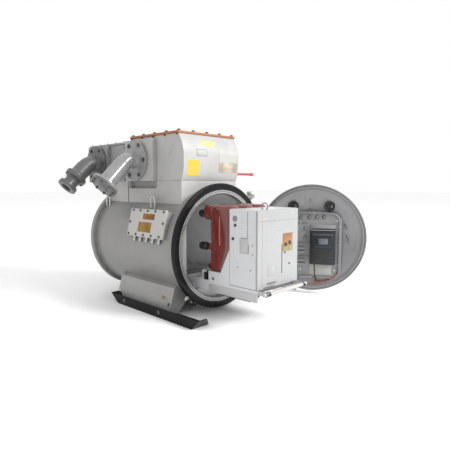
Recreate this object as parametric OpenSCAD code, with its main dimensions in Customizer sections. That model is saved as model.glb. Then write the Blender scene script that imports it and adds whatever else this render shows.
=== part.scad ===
// Flameproof switchgear cabinet: a round tank on skids with a swing door,
// a draw-out circuit breaker on rails and two bolted connection boxes on top.
// Millimetres. Origin on the floor, under the tank's axis, at the middle of the skids.
// +X is to the right of a person who faces the door, +Y runs to the rear, +Z is up.

/* [Tank] */
// Outer radius of the tank
tank_r = 430; // [420:1:436]
// Thickness of the tank's wall
tank_wall = 10; // [8:1:12]
// Height of the tank's axis above the floor
axis_z = 499; // [494:1:510]
// Distance from the origin to the front plane of the mouth
mouth_dist = 310; // [300:1:320]
// Length from the mouth's front plane to the back of the rear flange
tank_len = 1141; // [1120:1:1160]
// How far the mouth flange's bore lies inside the tank's outer radius
mouth_in = 36; // [30:1:40]
// How far the mouth flange stands out of the tank
mouth_out = 17; // [14:1:20]
// Length of the mouth flange along the tank
mouth_flange_len = 50; // [46:1:60]
// How far the rear flange and its cover stand out of the tank
rear_flange_out = 32; // [26:1:38]
// Thickness of the rear flange
rear_flange_t = 25; // [20:1:30]
// Thickness of the rear cover
rear_cover_t = 22; // [18:1:26]

/* [Locking ring] */
// Width of the locking ring outside the mouth flange
ring_w = 26; // [22:1:34]
// Length of the locking ring along the tank
ring_len = 30; // [28:1:34]
// Depth of the step that holds the ring on the mouth flange
ring_lip = 5; // [3:1:6]
// Running gap between the ring and the mouth flange
ring_gap = 0.3; // [0.2:0.1:0.5]
// Angle of the ring's clamp, from straight down towards the left
clamp_angle = 39; // [34:1:44]
// Distance between the clamp's two lugs
clamp_pitch = 62; // [54:1:70]
// Width of a clamp lug
clamp_w = 40; // [34:1:46]
// How far the clamp lugs stand out of the ring
clamp_out = 26; // [22:1:30]

/* [Front box] */
// Half of the width of both connection boxes
box_half_w = 290; // [280:1:300]
// Distance from the mouth's plane back to the front box's bowed face
front_box_setback = 98; // [94:1:104]
// Length of the front box
front_box_len = 662; // [650:1:670]
// Height of the boxes' underside over the tank's top
box_rise = 62; // [56:1:68]
// Height of the front box
box_h = 344; // [335:1:352]
// How far the top edge of the bowed face stands back
bow_top = 57; // [48:1:62]
// How far the bottom edge of the bowed face stands back
bow_bottom = 28; // [20:1:34]
// Depth of the bowed face's bend under the box's top
bow_drop = 138; // [130:1:146]
// Thickness of both box covers
cover_t = 16; // [12:1:20]
// Overhang of the covers past the boxes
cover_lap = 8; // [4:1:12]
// Radius of the bolts in the front box's cover
cover_bolt_r = 11; // [9:1:12]
// Height of the bolts in the front box's cover
cover_bolt_h = 13; // [10:1:15]

/* [Earthing lever] */
// Length of the earthing lever at the front box's right side
lever_len = 215; // [205:1:225]

/* [Rear box] */
// Gap between the front box and the rear box
box_gap = 110; // [100:1:120]
// Length of the rear box
rear_box_len = 560; // [540:1:570]
// How much lower the rear box's top is
rear_box_drop = 36; // [30:1:42]

/* [Throats] */
// How far the front throat runs on behind the front box
front_throat_over = 51; // [44:1:58]
// How far the front throat stands behind the front box's face
throat_setback = 28; // [24:1:34]
// Gap between the rear throat and the tank's rear plane
rear_throat_back = 10; // [6:1:16]
// Gap between the two throats
throat_gap = 12; // [8:1:16]
// Height of the recess under the front box's sides
recess_h = 57; // [50:1:62]
// Depth of the recess under the front box's sides
recess_depth = 46; // [40:1:52]
// Length of the recess under the front box's sides
recess_len = 371; // [360:1:380]

/* [Cable elbows] */
// Radius of the elbow's bolted flange
elbow_flange_r = 158; // [152:1:162]
// Thickness of the elbow's bolted flange
elbow_flange_t = 24; // [20:1:28]
// Outer radius of the rear elbow's barrel
barrel_r = 68; // [64:1:74]
// Outer radius of the front elbow's barrel
front_barrel_r = 63; // [60:1:68]
// Length of the straight neck between the flange and the bend
elbow_neck = 20; // [14:1:26]
// How much thicker the neck and the barrel are than the bend
elbow_step = 3; // [2:0.5:5]
// Radius of the front elbow's end flange and blank cover
front_end_r = 108; // [104:1:112]
// Radius of the rear elbow's end flange
rear_end_r = 94; // [90:1:98]
// Thickness of the elbows' end flanges
end_flange_t = 22; // [18:1:26]
// Thickness of the front elbow's blank cover
end_cover_t = 18; // [14:1:22]
// Length of the cable gland
gland_len = 120; // [110:1:130]
// Radius of the cable gland's body
gland_r = 60; // [56:1:64]
// Radius of the cable gland's clamp collar
gland_collar_r = 82; // [76:1:86]
// Radius of the cable gland's bore
gland_bore_r = 42; // [36:1:46]
// Angle of the front elbow's bend
front_bend = 45; // [42:1:48]
// Angle of the rear elbow's bend
rear_bend = 45; // [40:1:50]
// Radius of the elbow's bend, on its axis
bend_r = 110; // [100:1:130]
// Straight length of the front elbow's barrel
front_barrel_len = 235; // [225:1:245]
// Straight length of the rear elbow's barrel
rear_barrel_len = 130; // [120:1:140]
// Height of the front elbow's flange centre over the boxes' underside
elbow_rise = 162; // [155:1:169]
// Height of the rear elbow's flange centre over the boxes' underside
rear_elbow_rise = 156; // [149:1:164]
// Distance of the front elbow behind the mouth's plane
front_elbow_y = 640; // [630:1:650]
// Distance of the rear elbow behind the mouth's plane
rear_elbow_y = 1250; // [1230:1:1270]
// Thickness of the raised pad behind each elbow
pad_t = 36; // [30:1:42]
// Distance from the front pad's edge back to the elbow's centre
front_pad_before = 217; // [210:1:224]

/* [Terminal box] */
// Angle at which the terminal box leans on the tank's flank
box_tilt = 13.5; // [11:0.5:16]
// Distance of the terminal box behind the mouth's plane
terminal_back = 143; // [136:1:150]
// Length of the terminal box's cover along the tank
terminal_len = 453; // [440:1:460]
// Height of the terminal box's cover
terminal_h = 212; // [204:1:220]
// Distance of the cover's middle under the lifting eyes' feet
terminal_drop = 209; // [204:1:216]
// Distance of the cover's outer face from the tank
terminal_out = 32; // [28:1:36]
// Thickness of the terminal box's cover
terminal_cover_t = 13; // [10:1:16]
// Radius of the terminal box's glands
terminal_gland_r = 12; // [10:1:14]

/* [Lifting eyes] */
// Radius of the lifting eyes' rod
eye_rod_r = 6.5; // [6:0.5:8]
// Half of a lifting eye's width, on the rod's axis
eye_half_w = 24; // [22:1:28]
// Height of a lifting eye over its foot
eye_h = 96; // [90:1:102]
// Distance of the lifting eyes' rod from the throats' sides
eye_gap = 36; // [32:1:44]
// Distance of the front lifting eyes behind the mouth's plane
front_eye_y = 425; // [415:1:435]
// Distance of the rear lifting eyes behind the mouth's plane
rear_eye_y = 1080; // [1070:1:1084]

/* [Base] */
// Half of the distance over the skids' outer faces
skid_half_w = 462; // [454:1:468]
// Width of a skid's sole
skid_w = 150; // [140:1:156]
// Width of a skid's sloped end plates at their upper edge
skid_end_w = 75; // [70:1:84]
// Height of a skid
skid_h = 73; // [68:1:78]
// Distance of the sole's front end before the anchor holes' middle
skid_front = 478; // [470:1:486]
// Distance of the sole's rear end behind the anchor holes' middle
skid_back = 430; // [422:1:438]
// Length of a skid's sloped front end
skid_nose = 75; // [68:1:82]
// Length of a skid's sloped rear end
skid_tail = 100; // [92:1:108]
// Thickness of the skid's plates
skid_t = 9; // [7:1:12]
// Radius of the anchor holes in the soles
anchor_r = 9; // [7:0.5:11]
// Distance of the anchor holes from the skids' outer faces
anchor_inset = 112; // [104:1:120]
// Distance between the front and rear anchor holes
anchor_pitch = 500; // [480:1:520]
// Distance of the front anchor hole from the end of the right skid's sole
anchor_edge = 40; // [30:1:50]
// Length of the saddle legs
leg_len = 705; // [690:1:715]
// Distance of the legs behind the mouth's plane
leg_setback = 150; // [144:1:160]
// Thickness of the saddle plates
leg_t = 12; // [10:1:16]
// Height of the legs' upper edge above the floor
leg_top = 207; // [202:1:212]
// Distance of the legs' upper edge from the tank's middle
leg_top_x = 345; // [338:1:350]
// Distance of the legs' foot from the tank's middle
leg_foot_x = 400; // [394:1:406]
// Distance of the gussets' inner edge from the tank's middle, at the tank
gusset_top_x = 197; // [190:1:205]
// Distance of the gussets' inner edge from the tank's middle, at the skid
gusset_foot_x = 313; // [312:1:320]
// Height of the hole near each leg's front end
leg_hole_z = 80; // [76:1:86]
// Radius of the hole near each leg's front end
leg_hole_r = 14; // [12:1:16]

/* [Door] */
// How far the door stands over the mouth flange
door_over = 19; // [15:1:23]
// Thickness of the door's rim
door_rim_t = 30; // [26:1:34]
// Width of the door's rim
door_rim_w = 40; // [34:1:46]
// Depth of the door's dish
dish_depth = 72; // [64:1:80]
// Thickness of the door's dish
dish_t = 10; // [8:1:12]
// Gap between the closed door and the mouth
door_gap = 5; // [5:0.5:7]
// Distance of the hinge pin from the door's edge
hinge_out = 39; // [34:1:44]
// Distance of the hinge pin behind the mouth's plane
hinge_back = 150; // [140:1:160]
// Angle at which the door stands open
door_open = 119; // [112:1:122]
// Depth of the upper hinge bracket under the tank's top
upper_hinge_drop = 69; // [62:1:76]
// Depth of the lower hinge bracket under the tank's axis
lower_hinge_drop = 242; // [236:1:250]
// Radius of the hinge pin
pin_r = 14; // [12:1:16]
// Running gap round the hinge pin
pin_gap = 0.1; // [0.05:0.05:0.1]

/* [Door fittings] */
// Radius of the door's two ports
port_r = 46; // [42:1:50]
// Distance of the ports' middle from the dish's upper edge
port_drop = 152; // [146:1:158]
// Depth of the recess in the ports' faces
port_recess = 9; // [6:1:12]
// Distance of the right-hand port from the door's middle
port_right = 158; // [152:1:164]
// Distance of the left-hand port from the door's middle
port_left = 153; // [147:1:159]
// Width of the instrument panel
panel_w = 390; // [380:1:394]
// Height of the panel's upper edge above the tank's axis
panel_rise = 212; // [206:1:218]
// Thickness of the instrument panel
panel_t = 6; // [4:1:8]
// Distance of the panel's edge from the door's middle, towards the hinge
panel_right = 129; // [122:1:136]
// Distance of the panel's lower edge from the dish's edge
panel_gap = 82; // [76:1:88]
// How far the panel lies inside the door's rim
panel_inset = 28; // [24:1:32]
// Width of the protection relay
relay_w = 214; // [205:1:218]
// Height of the protection relay
relay_h = 297; // [290:1:304]
// Depth of the protection relay
relay_d = 60; // [54:1:66]
// Distance of the relay's lower edge from the tank's axis
relay_drop = 227; // [220:1:234]
// Radius of the push buttons
button_r = 15; // [13:1:17]
// Height of the push buttons above the tank's axis
button_rise = 178; // [170:1:184]

/* [Circuit breaker] */
// Width of the breaker's housing
breaker_w = 444; // [430:1:450]
// Height of the breaker's housing
breaker_h = 517; // [500:1:525]
// Depth of the breaker's housing
breaker_d = 248; // [240:1:256]
// Height of the housing's underside above the floor plate
breaker_rise = 92; // [88:1:100]
// Distance of the drawn-out breaker's front before the mouth's plane
breaker_out = 533; // [520:1:540]
// Distance between the poles
pole_pitch = 146; // [142:1:150]
// Width of a pole
pole_w = 124; // [118:1:128]
// Depth of a pole
pole_d = 206; // [196:1:212]
// Height of the poles' rounded tops over the housing
pole_rise = 20; // [14:1:24]
// Radius of the poles' heads round the upper contact arms
head_r = 46; // [42:1:50]
// How far the poles' heads stand out behind
head_len = 54; // [48:1:60]
// Radius of the bushes round the lower contact arms
bush_r = 32; // [30:1:36]
// Length of the bushes round the lower contact arms
bush_len = 36; // [30:1:42]
// Length of the contact arms
arm_len = 150; // [140:1:160]
// Radius of the contact arms
arm_r = 22; // [18:1:26]
// Radius of the contacts at the arms' ends
contact_r = 29; // [26:1:30]
// Length of the contacts at the arms' ends
contact_len = 66; // [60:1:72]
// Height of the upper contact arms above the housing's underside
upper_arm_rise = 468; // [462:1:474]
// Height of the lower contact arms above the housing's underside
lower_arm_rise = 230; // [224:1:236]
// Height of the poles' shoulder above the housing's underside
pole_shoulder_rise = 240; // [234:1:246]
// Height of the poles' underside above the housing's
pole_foot_rise = 74; // [68:1:80]
// Depth of the poles' slanted front
pole_slant = 84; // [78:1:90]
// Distance that the truck runs in
truck_stroke = 700; // [690:1:710]
// Height of the floor plate that the truck runs on over the tank's underside
floor_rise = 121; // [117:1:125]
// Gap between the truck's sides and the guide rails
rail_gap = 13; // [10:1:18]
// Height of the guide rails
rail_h = 55; // [50:1:58]
// Distance of the contact plate behind the mouth's plane
contact_dist = 900; // [890:1:910]
// Length of a runner of the truck
runner_len = 860; // [840:1:880]
// Radius of the truck's rollers
roller_r = 20; // [16:1:24]
// Height of the pull bar's axis above the floor plate
pull_rise = 80; // [74:1:86]
// Distance of the pull bar before the breaker's front
pull_out = 67; // [60:1:74]
// Radius of the pull bar
pull_r = 13; // [11:1:15]

/* [Hidden] */
$fn = 96;
eps = 0.5;

mouth_r = tank_r - mouth_in;
mouth_flange_r = tank_r + mouth_out;
rear_flange_r = tank_r + rear_flange_out;
ring_r = mouth_flange_r + ring_w;
box_z = axis_z + tank_r + box_rise;
elbow_z = box_z + elbow_rise;
rear_elbow_z = box_z + rear_elbow_rise;
eye_x = box_half_w + eye_gap;
eye_rise = sqrt(tank_r * tank_r - eye_x * eye_x);
terminal_rise = eye_rise - terminal_drop;
door_r = mouth_flange_r + door_over;
hinge_x = door_r + hinge_out;
floor_z = axis_z - tank_r + floor_rise;
breaker_z = floor_z + breaker_rise;
upper_arm_z = breaker_z + upper_arm_rise;
lower_arm_z = breaker_z + lower_arm_rise;
pole_shoulder_z = breaker_z + pole_shoulder_rise;
pole_foot_z = breaker_z + pole_foot_rise;
pull_z = floor_z + pull_rise;
rail_x = breaker_w / 2 + rail_gap;
mouth_y = -mouth_dist;
rear_y = mouth_y + tank_len;
shell_y0 = mouth_y + mouth_flange_len;
shell_y1 = rear_y - rear_flange_t;
front_box_y0 = mouth_y + front_box_setback;
front_box_y1 = front_box_y0 + front_box_len;
rear_box_y0 = front_box_y1 + box_gap;
rear_box_y1 = rear_box_y0 + rear_box_len;
box_top = box_z + box_h;
rear_box_top = box_top - rear_box_drop;
lever_y = front_box_y0 + 32;
front_throat_y0 = front_box_y0 + throat_setback;
front_throat_y1 = front_box_y1 + front_throat_over;
rear_throat_y0 = front_throat_y1 + throat_gap;
rear_throat_y1 = rear_y - rear_throat_back;
elbow_x = -box_half_w - pad_t;
front_elbow_dist = mouth_y + front_elbow_y;
rear_elbow_dist = mouth_y + rear_elbow_y;
hinge_y = mouth_y + hinge_back;
door_back = mouth_y - door_gap;           // the rim's face that meets the mouth
door_front = door_back - door_rim_t;
dish_edge = door_r - door_rim_w;
port_rise = dish_edge - port_drop;
panel_drop = dish_edge - panel_gap;
panel_h = panel_drop + panel_rise;
rails_y1 = shell_y1 - 80;
leg_y0 = mouth_y + leg_setback;
leg_y1 = leg_y0 + leg_len;
breaker_y0 = mouth_y - breaker_out;
breaker_y1 = breaker_y0 + breaker_d;
breaker_top = breaker_z + breaker_h;
pole_y0 = breaker_y1;
pole_y1 = pole_y0 + pole_d;
frame_z = floor_z + 15;                  // underside of the truck's side bars
side_t = 6;

// ---------- helpers ----------
// A solid of revolution about the tank's axis, from [radius, distance] points
module turned(y, points) {
    translate([0, y, axis_z]) rotate([-90, 0, 0]) rotate_extrude() polygon(points);
}
// A round bar along +Y
module bar_y(x, y, z, r, len) {
    translate([x, y, z]) rotate([-90, 0, 0]) cylinder(r = r, h = len);
}
// A round bar along +X
module bar_x(x, y, z, r, len) {
    translate([x, y, z]) rotate([0, 90, 0]) cylinder(r = r, h = len);
}
// An outline in the X-Z plane, extruded along +Y
module slab_y(y, len, points) {
    translate([0, y + len, 0]) rotate([90, 0, 0]) linear_extrude(len) polygon(points);
}
// An outline in the Y-Z plane, extruded along +X
module slab_x(x, len, points) {
    translate([x, 0, 0]) rotate([90, 0, 90]) linear_extrude(len) polygon(points);
}
// The space that the tank takes, to seat what is welded on it
module tank_space(grow = 0) {
    bar_y(0, mouth_y - 10, axis_z, tank_r + grow, tank_len + 20);
}
module mirrored() {
    children();
    mirror([1, 0, 0]) children();
}
// What belongs to the door is drawn closed and swung open here
module swung() {
    translate([hinge_x, hinge_y, 0]) rotate(door_open) translate([-hinge_x, -hinge_y, 0]) children();
}

// ---------- tank ----------
module tank_shell() {
    color("lightgray") turned(shell_y0, [[tank_r - tank_wall, 0], [tank_r, 0],
        [tank_r, shell_y1 - shell_y0], [tank_r - tank_wall, shell_y1 - shell_y0]]);
}
module mouth_flange() {
    groove = mouth_flange_r - ring_lip;
    color("silver") turned(mouth_y, [[mouth_r, 0], [mouth_flange_r, 0],
        [mouth_flange_r, 12], [groove, 12], [groove, ring_len - 8],
        [mouth_flange_r, ring_len - 8], [mouth_flange_r, mouth_flange_len],
        [mouth_r, mouth_flange_len]]);
}
module locking_ring() {
    inner = mouth_flange_r + ring_gap;
    groove = inner - ring_lip;
    color("#202022") {
        turned(mouth_y, [[inner, 1], [inner + 3, 0], [ring_r - 6, 0], [ring_r, 6],
            [ring_r, ring_len - 4], [ring_r - 4, ring_len], [inner, ring_len],
            [inner, ring_len - 8 - ring_gap], [groove, ring_len - 8 - ring_gap],
            [groove, 12 + ring_gap], [inner, 12 + ring_gap]]);
        // two clamp lugs and their screw
        rotate_about_axis(clamp_angle) for (s = [-1, 1]) translate([s * clamp_pitch / 2 - clamp_w / 2,
            mouth_y + 2, axis_z - ring_r - clamp_out]) cube([clamp_w, ring_len - 6, clamp_out + 6]);
        rotate_about_axis(clamp_angle) bar_x(-clamp_pitch / 2, mouth_y + ring_len / 2, axis_z - ring_r - clamp_out / 2, 7, clamp_pitch);
    }
}
module rear_flange() {
    color("silver") turned(shell_y1, [[tank_r - 30, 0], [rear_flange_r, 0],
        [rear_flange_r, rear_flange_t], [tank_r - 30, rear_flange_t]]);
}
module rear_cover() {
    color("lightgray") {
        bar_y(0, rear_y, axis_z, rear_flange_r, rear_cover_t);
        for (i = [0:23]) rotate_about_axis(i * 15 + 7.5)
            bar_y(rear_flange_r - 16, rear_y + rear_cover_t - eps, axis_z, 13, 12 + eps);
    }
}
module rotate_about_axis(a) {
    translate([0, 0, axis_z]) rotate([0, a, 0]) translate([0, 0, -axis_z]) children();
}

// ---------- inside the tank ----------
module guide_rails() {
    color("silver") intersection() {
        union() {
            translate([-tank_r, shell_y0, floor_z - 8])
                cube([2 * tank_r, rails_y1 - shell_y0, 8]);
            mirrored() translate([rail_x, shell_y0, floor_z - eps])
                cube([8, rails_y1 - shell_y0, rail_h + eps]);
        }
        bar_y(0, mouth_y, axis_z, tank_r - tank_wall, tank_len);
    }
}
module contact_plate() {
    color("gray") difference() {
        bar_y(0, mouth_y + contact_dist, axis_z, tank_r - tank_wall, 12);
        translate([-tank_r, mouth_y, 0]) cube([2 * tank_r, tank_len, breaker_z + 20]);
    }
}

// ---------- throats and boxes ----------
// A block from the tank's top up to the boxes, saddled on the tank
module throat(y0, y1) {
    difference() {
        translate([-box_half_w, y0, axis_z + tank_r / 2])
            cube([2 * box_half_w, y1 - y0, box_z - axis_z - tank_r / 2]);
        tank_space();
    }
}
module front_throat() {
    recess_y1 = front_throat_y1 - 14;
    color("lightgray") difference() {
        throat(front_throat_y0, front_throat_y1);
        mirrored() translate([-box_half_w - 1, recess_y1 - recess_len, box_z - recess_h])
            cube([recess_depth, recess_len, recess_h + 1]);
    }
}
module rear_throat() {
    color("lightgray") difference() {
        throat(rear_throat_y0, rear_throat_y1);
        bar_y(0, shell_y1 - 1, axis_z, rear_flange_r, 2 * rear_flange_t);
    }
}
module front_box() {
    y0 = front_box_y0;
    y1 = front_box_y1;
    color("whitesmoke") slab_x(-box_half_w, 2 * box_half_w,
        [[y0 + bow_bottom, box_z], [y1, box_z], [y1, box_top], [y0 + bow_top, box_top],
         [y0 + 0.42 * bow_top, box_top - 0.4 * bow_drop], [y0 + 0.1 * bow_top, box_top - 0.8 * bow_drop],
         [y0, box_top - bow_drop], [y0 + 2, box_z + 0.3 * box_h], [y0 + bow_bottom / 2, box_z + 0.1 * box_h]]);
}
module front_box_cover() {
    color("orangered") {
        translate([-box_half_w - cover_lap, front_box_y0 + bow_top - cover_lap, box_top])
            cube([2 * (box_half_w + cover_lap), front_box_len - bow_top + 2 * cover_lap, cover_t]);
        for (i = [0:4], j = [0:4]) if (i == 0 || i == 4 || j == 0 || j == 4)
            translate([(i - 2) * box_half_w * 0.475, front_box_y0 + bow_top + 12 + j * (front_box_len - bow_top - 24) / 4,
                box_top + cover_t - eps]) cylinder(r = cover_bolt_r, h = cover_bolt_h + eps, $fn = 6);
    }
}
module rear_box() {
    color("gray") translate([-box_half_w, rear_box_y0, box_z])
        cube([2 * box_half_w, rear_box_len, rear_box_top - box_z]);
}
module rear_box_cover() {
    color("lightgray") translate([-box_half_w - cover_lap, rear_box_y0 - cover_lap, rear_box_top])
        cube([2 * (box_half_w + cover_lap), rear_box_len + 2 * cover_lap, cover_t]);
}

// ---------- cable elbows ----------
// Raised pad on a box's side, from before the flange's centre to just past the flange
module pad(y, z, before, top) {
    z0 = z - elbow_flange_r - 5;
    translate([elbow_x, y - before, z0])
        cube([pad_t, before + elbow_flange_r + 4, min(top, z + elbow_flange_r + 5) - z0]);
}
module front_elbow_pad() {
    color("lightgray") pad(front_elbow_dist, elbow_z, front_pad_before, box_top);
}
module rear_elbow_pad() {
    color("gray") pad(rear_elbow_dist, rear_elbow_z, elbow_flange_r + 4, rear_box_top);
}
// Flange on the pad, neck, bend downwards, and a barrel with an end flange
module elbow(y, z, angle, r, barrel_len, end_r) {
    lap = 6;
    collar_r = r + elbow_step;
    translate([elbow_x, y, z]) rotate([0, -90, 0]) {
        cylinder(r = elbow_flange_r, h = elbow_flange_t);
        for (a = [0:60:300]) rotate(a) translate([elbow_flange_r - 26, 0, elbow_flange_t - eps])
            cylinder(r = 14, h = 12 + eps, $fn = 6);
        cylinder(r = collar_r, h = elbow_flange_t + elbow_neck + lap);
    }
    translate([bend_x, y, z - bend_r]) rotate([90, 0, 0]) rotate([0, 0, 90])
        rotate_extrude(angle = angle) translate([bend_r, 0]) circle(r = r);
    elbow_end(y, z, angle) {
        translate([0, 0, -lap]) cylinder(r = collar_r, h = barrel_len + lap);
        translate([0, 0, barrel_len - end_flange_t]) cylinder(r = end_r, h = end_flange_t);
    }
}
bend_x = elbow_x - elbow_flange_t - elbow_neck;
// Places its children at the end of the bend, with +Z along the barrel
module elbow_end(y, z, angle) {
    translate([bend_x - bend_r * sin(angle), y, z - bend_r * (1 - cos(angle))])
        rotate([0, -90 - angle, 0]) children();
}
module front_elbow() {
    color("lightgray") elbow(front_elbow_dist, elbow_z, front_bend, front_barrel_r, front_barrel_len, front_end_r);
}
module rear_elbow() {
    color("gray") elbow(rear_elbow_dist, rear_elbow_z, rear_bend, barrel_r, rear_barrel_len, rear_end_r);
}
// Blank cover with a ring of bolts
module front_end_cover() {
    color("silver") elbow_end(front_elbow_dist, elbow_z, front_bend) translate([0, 0, front_barrel_len]) {
        cylinder(r = front_end_r - 3, h = end_cover_t);
        for (a = [0:45:315]) rotate(a) translate([front_end_r - 20, 0, end_cover_t - eps])
            cylinder(r = 9, h = 9 + eps, $fn = 6);
        translate([0, 0, end_cover_t - eps]) cylinder(r = 34, h = 6 + eps);
    }
}
// Gland body on the end flange, with a clamp collar at its mouth
module rear_gland() {
    color("gray") elbow_end(rear_elbow_dist, rear_elbow_z, rear_bend) translate([0, 0, rear_barrel_len])
        difference() {
            union() {
                cylinder(r = rear_end_r - 3, h = 16);
                cylinder(r = gland_r, h = gland_len - 10);
                translate([0, 0, gland_len - 34]) cylinder(r = gland_collar_r, h = 34);
            }
            translate([0, 0, 12]) cylinder(r = gland_bore_r, h = gland_len);
        }
}

// ---------- terminal box on the tank's left flank ----------
// Origin on the tank's flank, X towards the axis, Z up along the tank
module flank() {
    translate([0, 0, axis_z]) rotate([0, box_tilt, 0])
        translate([-tank_r, mouth_y + terminal_back, terminal_rise]) children();
}
module terminal_box() {
    edge = 9;
    color("whitesmoke") difference() {
        flank() translate([terminal_cover_t - terminal_out, edge, edge - terminal_h / 2])
            cube([terminal_out + tank_r / 6, terminal_len - 2 * edge, terminal_h - 2 * edge]);
        tank_space();
    }
}
module terminal_box_cover() {
    color("white") flank() translate([-terminal_out, 0, -terminal_h / 2])
        cube([terminal_cover_t, terminal_len, terminal_h]);
}
module terminal_glands() {
    low = -terminal_h / 2 - 36;
    color("silver") difference() {
        flank() for (i = [0:4]) translate([-7, 0.14 * terminal_len + i * 0.17 * terminal_len, low])
            cylinder(r = terminal_gland_r, h = 36 + 9);
        tank_space();
    }
}

// ---------- lifting eyes ----------
// Rod bent to an upright loop, welded on the tank
module lifting_eye(y) {
    post_h = eye_h - eye_half_w - eye_rod_r;
    foot = 30;                            // runs into the tank's wall and is cut off there
    translate([-eye_x, y, axis_z + eye_rise]) {
        for (s = [-1, 1]) translate([0, s * eye_half_w, -foot])
            cylinder(r = eye_rod_r + 1, h = post_h + foot + 4);
        translate([0, 0, post_h]) rotate([90, 0, 90])
            rotate_extrude(angle = 180) translate([eye_half_w, 0]) circle(r = eye_rod_r);
    }
}
module lifting_eyes() {
    color("silver") difference() {
        mirrored() { lifting_eye(mouth_y + front_eye_y); lifting_eye(mouth_y + rear_eye_y); }
        tank_space();
    }
}

// ---------- base ----------
tail_in = skid_t * sqrt(1 + pow(skid_tail / skid_h, 2));  // the bent-up plate's thickness along the floor
tail_y = skid_back + skid_tail * skid_t / skid_h - tail_in; // where the sole's upper face turns up
module leg() {
    top = [-leg_top_x, leg_top];
    foot = [-leg_foot_x, skid_t];
    color("silver") difference() {
        union() {
            slab_y(leg_y0, leg_len, [foot, top, [top[0] + 30, top[1] + 20],
                [top[0] + 30, top[1] - 20], [foot[0] + leg_t + 2, foot[1]]]);
            for (y = [leg_y0, tail_y - leg_t - 1]) slab_y(y, leg_t, [foot, top, [-gusset_top_x, top[1] - 5],
                [-gusset_top_x, skid_t + gusset_foot_x - gusset_top_x], [-gusset_foot_x, skid_t]]);
        }
        tank_space();
        // room for the skid's sloped tail
        slab_x(-leg_foot_x - 50, 100, [[tail_y - 0.3, 0], [tail_y - 0.3, skid_t], [tail_y + skid_tail, skid_t + skid_h],
            [leg_y1 + 1, skid_t + skid_h], [leg_y1 + 1, 0]]);
        translate([-leg_foot_x - 50, leg_y0 + 30, leg_hole_z]) rotate([0, 90, 0])
            cylinder(r = leg_hole_r, h = 100);
    }
}
module left_leg() { leg(); }
module right_leg() { mirror([1, 0, 0]) leg(); }
// Runner on the left: a sole bent up at both ends, and a web along its outer edge
module skid(front) {
    y0 = -front;
    y1 = skid_back;
    top0 = y0 - skid_nose;
    top1 = y1 + skid_tail;
    nose_in = skid_t * sqrt(1 + pow(skid_nose / skid_h, 2));
    lift0 = skid_nose * skid_t / skid_h;
    color("#202022") difference() {
        intersection() {
            slab_x(-skid_half_w, skid_w, [[y0, 0], [y1, 0], [top1, skid_h], [top0, skid_h]]);
            slab_y(top0, top1 - top0, [[-skid_half_w, 0], [skid_w - skid_half_w, 0], [skid_w - skid_half_w, skid_t],
                [skid_end_w - skid_half_w, skid_h], [-skid_half_w, skid_h]]);
        }
        slab_x(skid_t - skid_half_w, skid_w, [[y0 - lift0 + nose_in, skid_t], [tail_y, skid_t],
            [top1 - tail_in + skid_tail / skid_h, skid_h + 1], [top0 + nose_in - skid_nose / skid_h, skid_h + 1]]);
        for (s = [-1, 1]) translate([anchor_inset - skid_half_w, s * anchor_pitch / 2, -1])
            cylinder(r = anchor_r, h = skid_t + 2);
    }
}
module left_skid() { skid(skid_front); }
// The right skid stops short at the front, under the swing of the door
module right_skid() { mirror([1, 0, 0]) skid(anchor_pitch / 2 + anchor_edge); }

// ---------- hinge ----------
bracket_zs = [axis_z - lower_hinge_drop, axis_z + tank_r - upper_hinge_drop];
arm_rise = 0.37 * door_r;
arm_zs = [axis_z - arm_rise, axis_z + arm_rise];
arm_h = 50;
wing_x = dish_edge * 0.95;
module hinge_brackets() {
    color("silver") difference() {
        for (z = bracket_zs) translate([0, 0, z - 12]) linear_extrude(24) {
            translate([hinge_x, hinge_y]) circle(r = pin_r + 16);
            polygon([[tank_r / 2, hinge_y - 30], [hinge_x, hinge_y - pin_r - 16],
                [hinge_x, hinge_y + pin_r + 16], [tank_r / 2, hinge_y + 70]]);
        }
        tank_space();
        translate([-box_half_w, front_throat_y0, axis_z])
            cube([2 * box_half_w, front_throat_y1 - front_throat_y0, box_z]);
        translate([hinge_x, hinge_y, 0]) cylinder(r = pin_r, h = box_z);
    }
}
module hinge_pin() {
    color("gray") translate([hinge_x, hinge_y, bracket_zs[0] - 20])
        cylinder(r = pin_r, h = bracket_zs[1] - bracket_zs[0] + 40);
}

// ---------- small things ----------
module earthing_lever() {
    color("red") {
        bar_x(box_half_w, lever_y, box_z + box_h / 6, 9, lever_len);
        bar_x(box_half_w, lever_y, box_z + box_h / 6, 13, 14);
        bar_x(box_half_w + lever_len - 40, lever_y, box_z + box_h / 6, 13, 44);
    }
}

// ---------- door, drawn closed ----------
module door_rim() {
    color("silver") swung() turned(door_front, [[door_r - door_rim_w, 0], [door_r - 4, 0], [door_r, 4],
        [door_r, door_rim_t], [door_r - 26, door_rim_t], [door_r - 26, door_rim_t - 8],
        [door_r - door_rim_w, door_rim_t - 8]]);
}
// Cap of a sphere behind the rim
dish_r = (dish_edge * dish_edge + dish_depth * dish_depth) / (2 * dish_depth);
function dish_curve(lift) = [for (i = [0:16]) let (r = dish_edge * i / 16)
    [r, dish_r - dish_depth - sqrt(dish_r * dish_r - r * r) + lift]];
function reversed(list) = [for (i = [len(list) - 1:-1:0]) list[i]];
module door_dish() {
    color("silver") swung() turned(door_front, concat(dish_curve(0), reversed(dish_curve(dish_t))));
}
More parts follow.
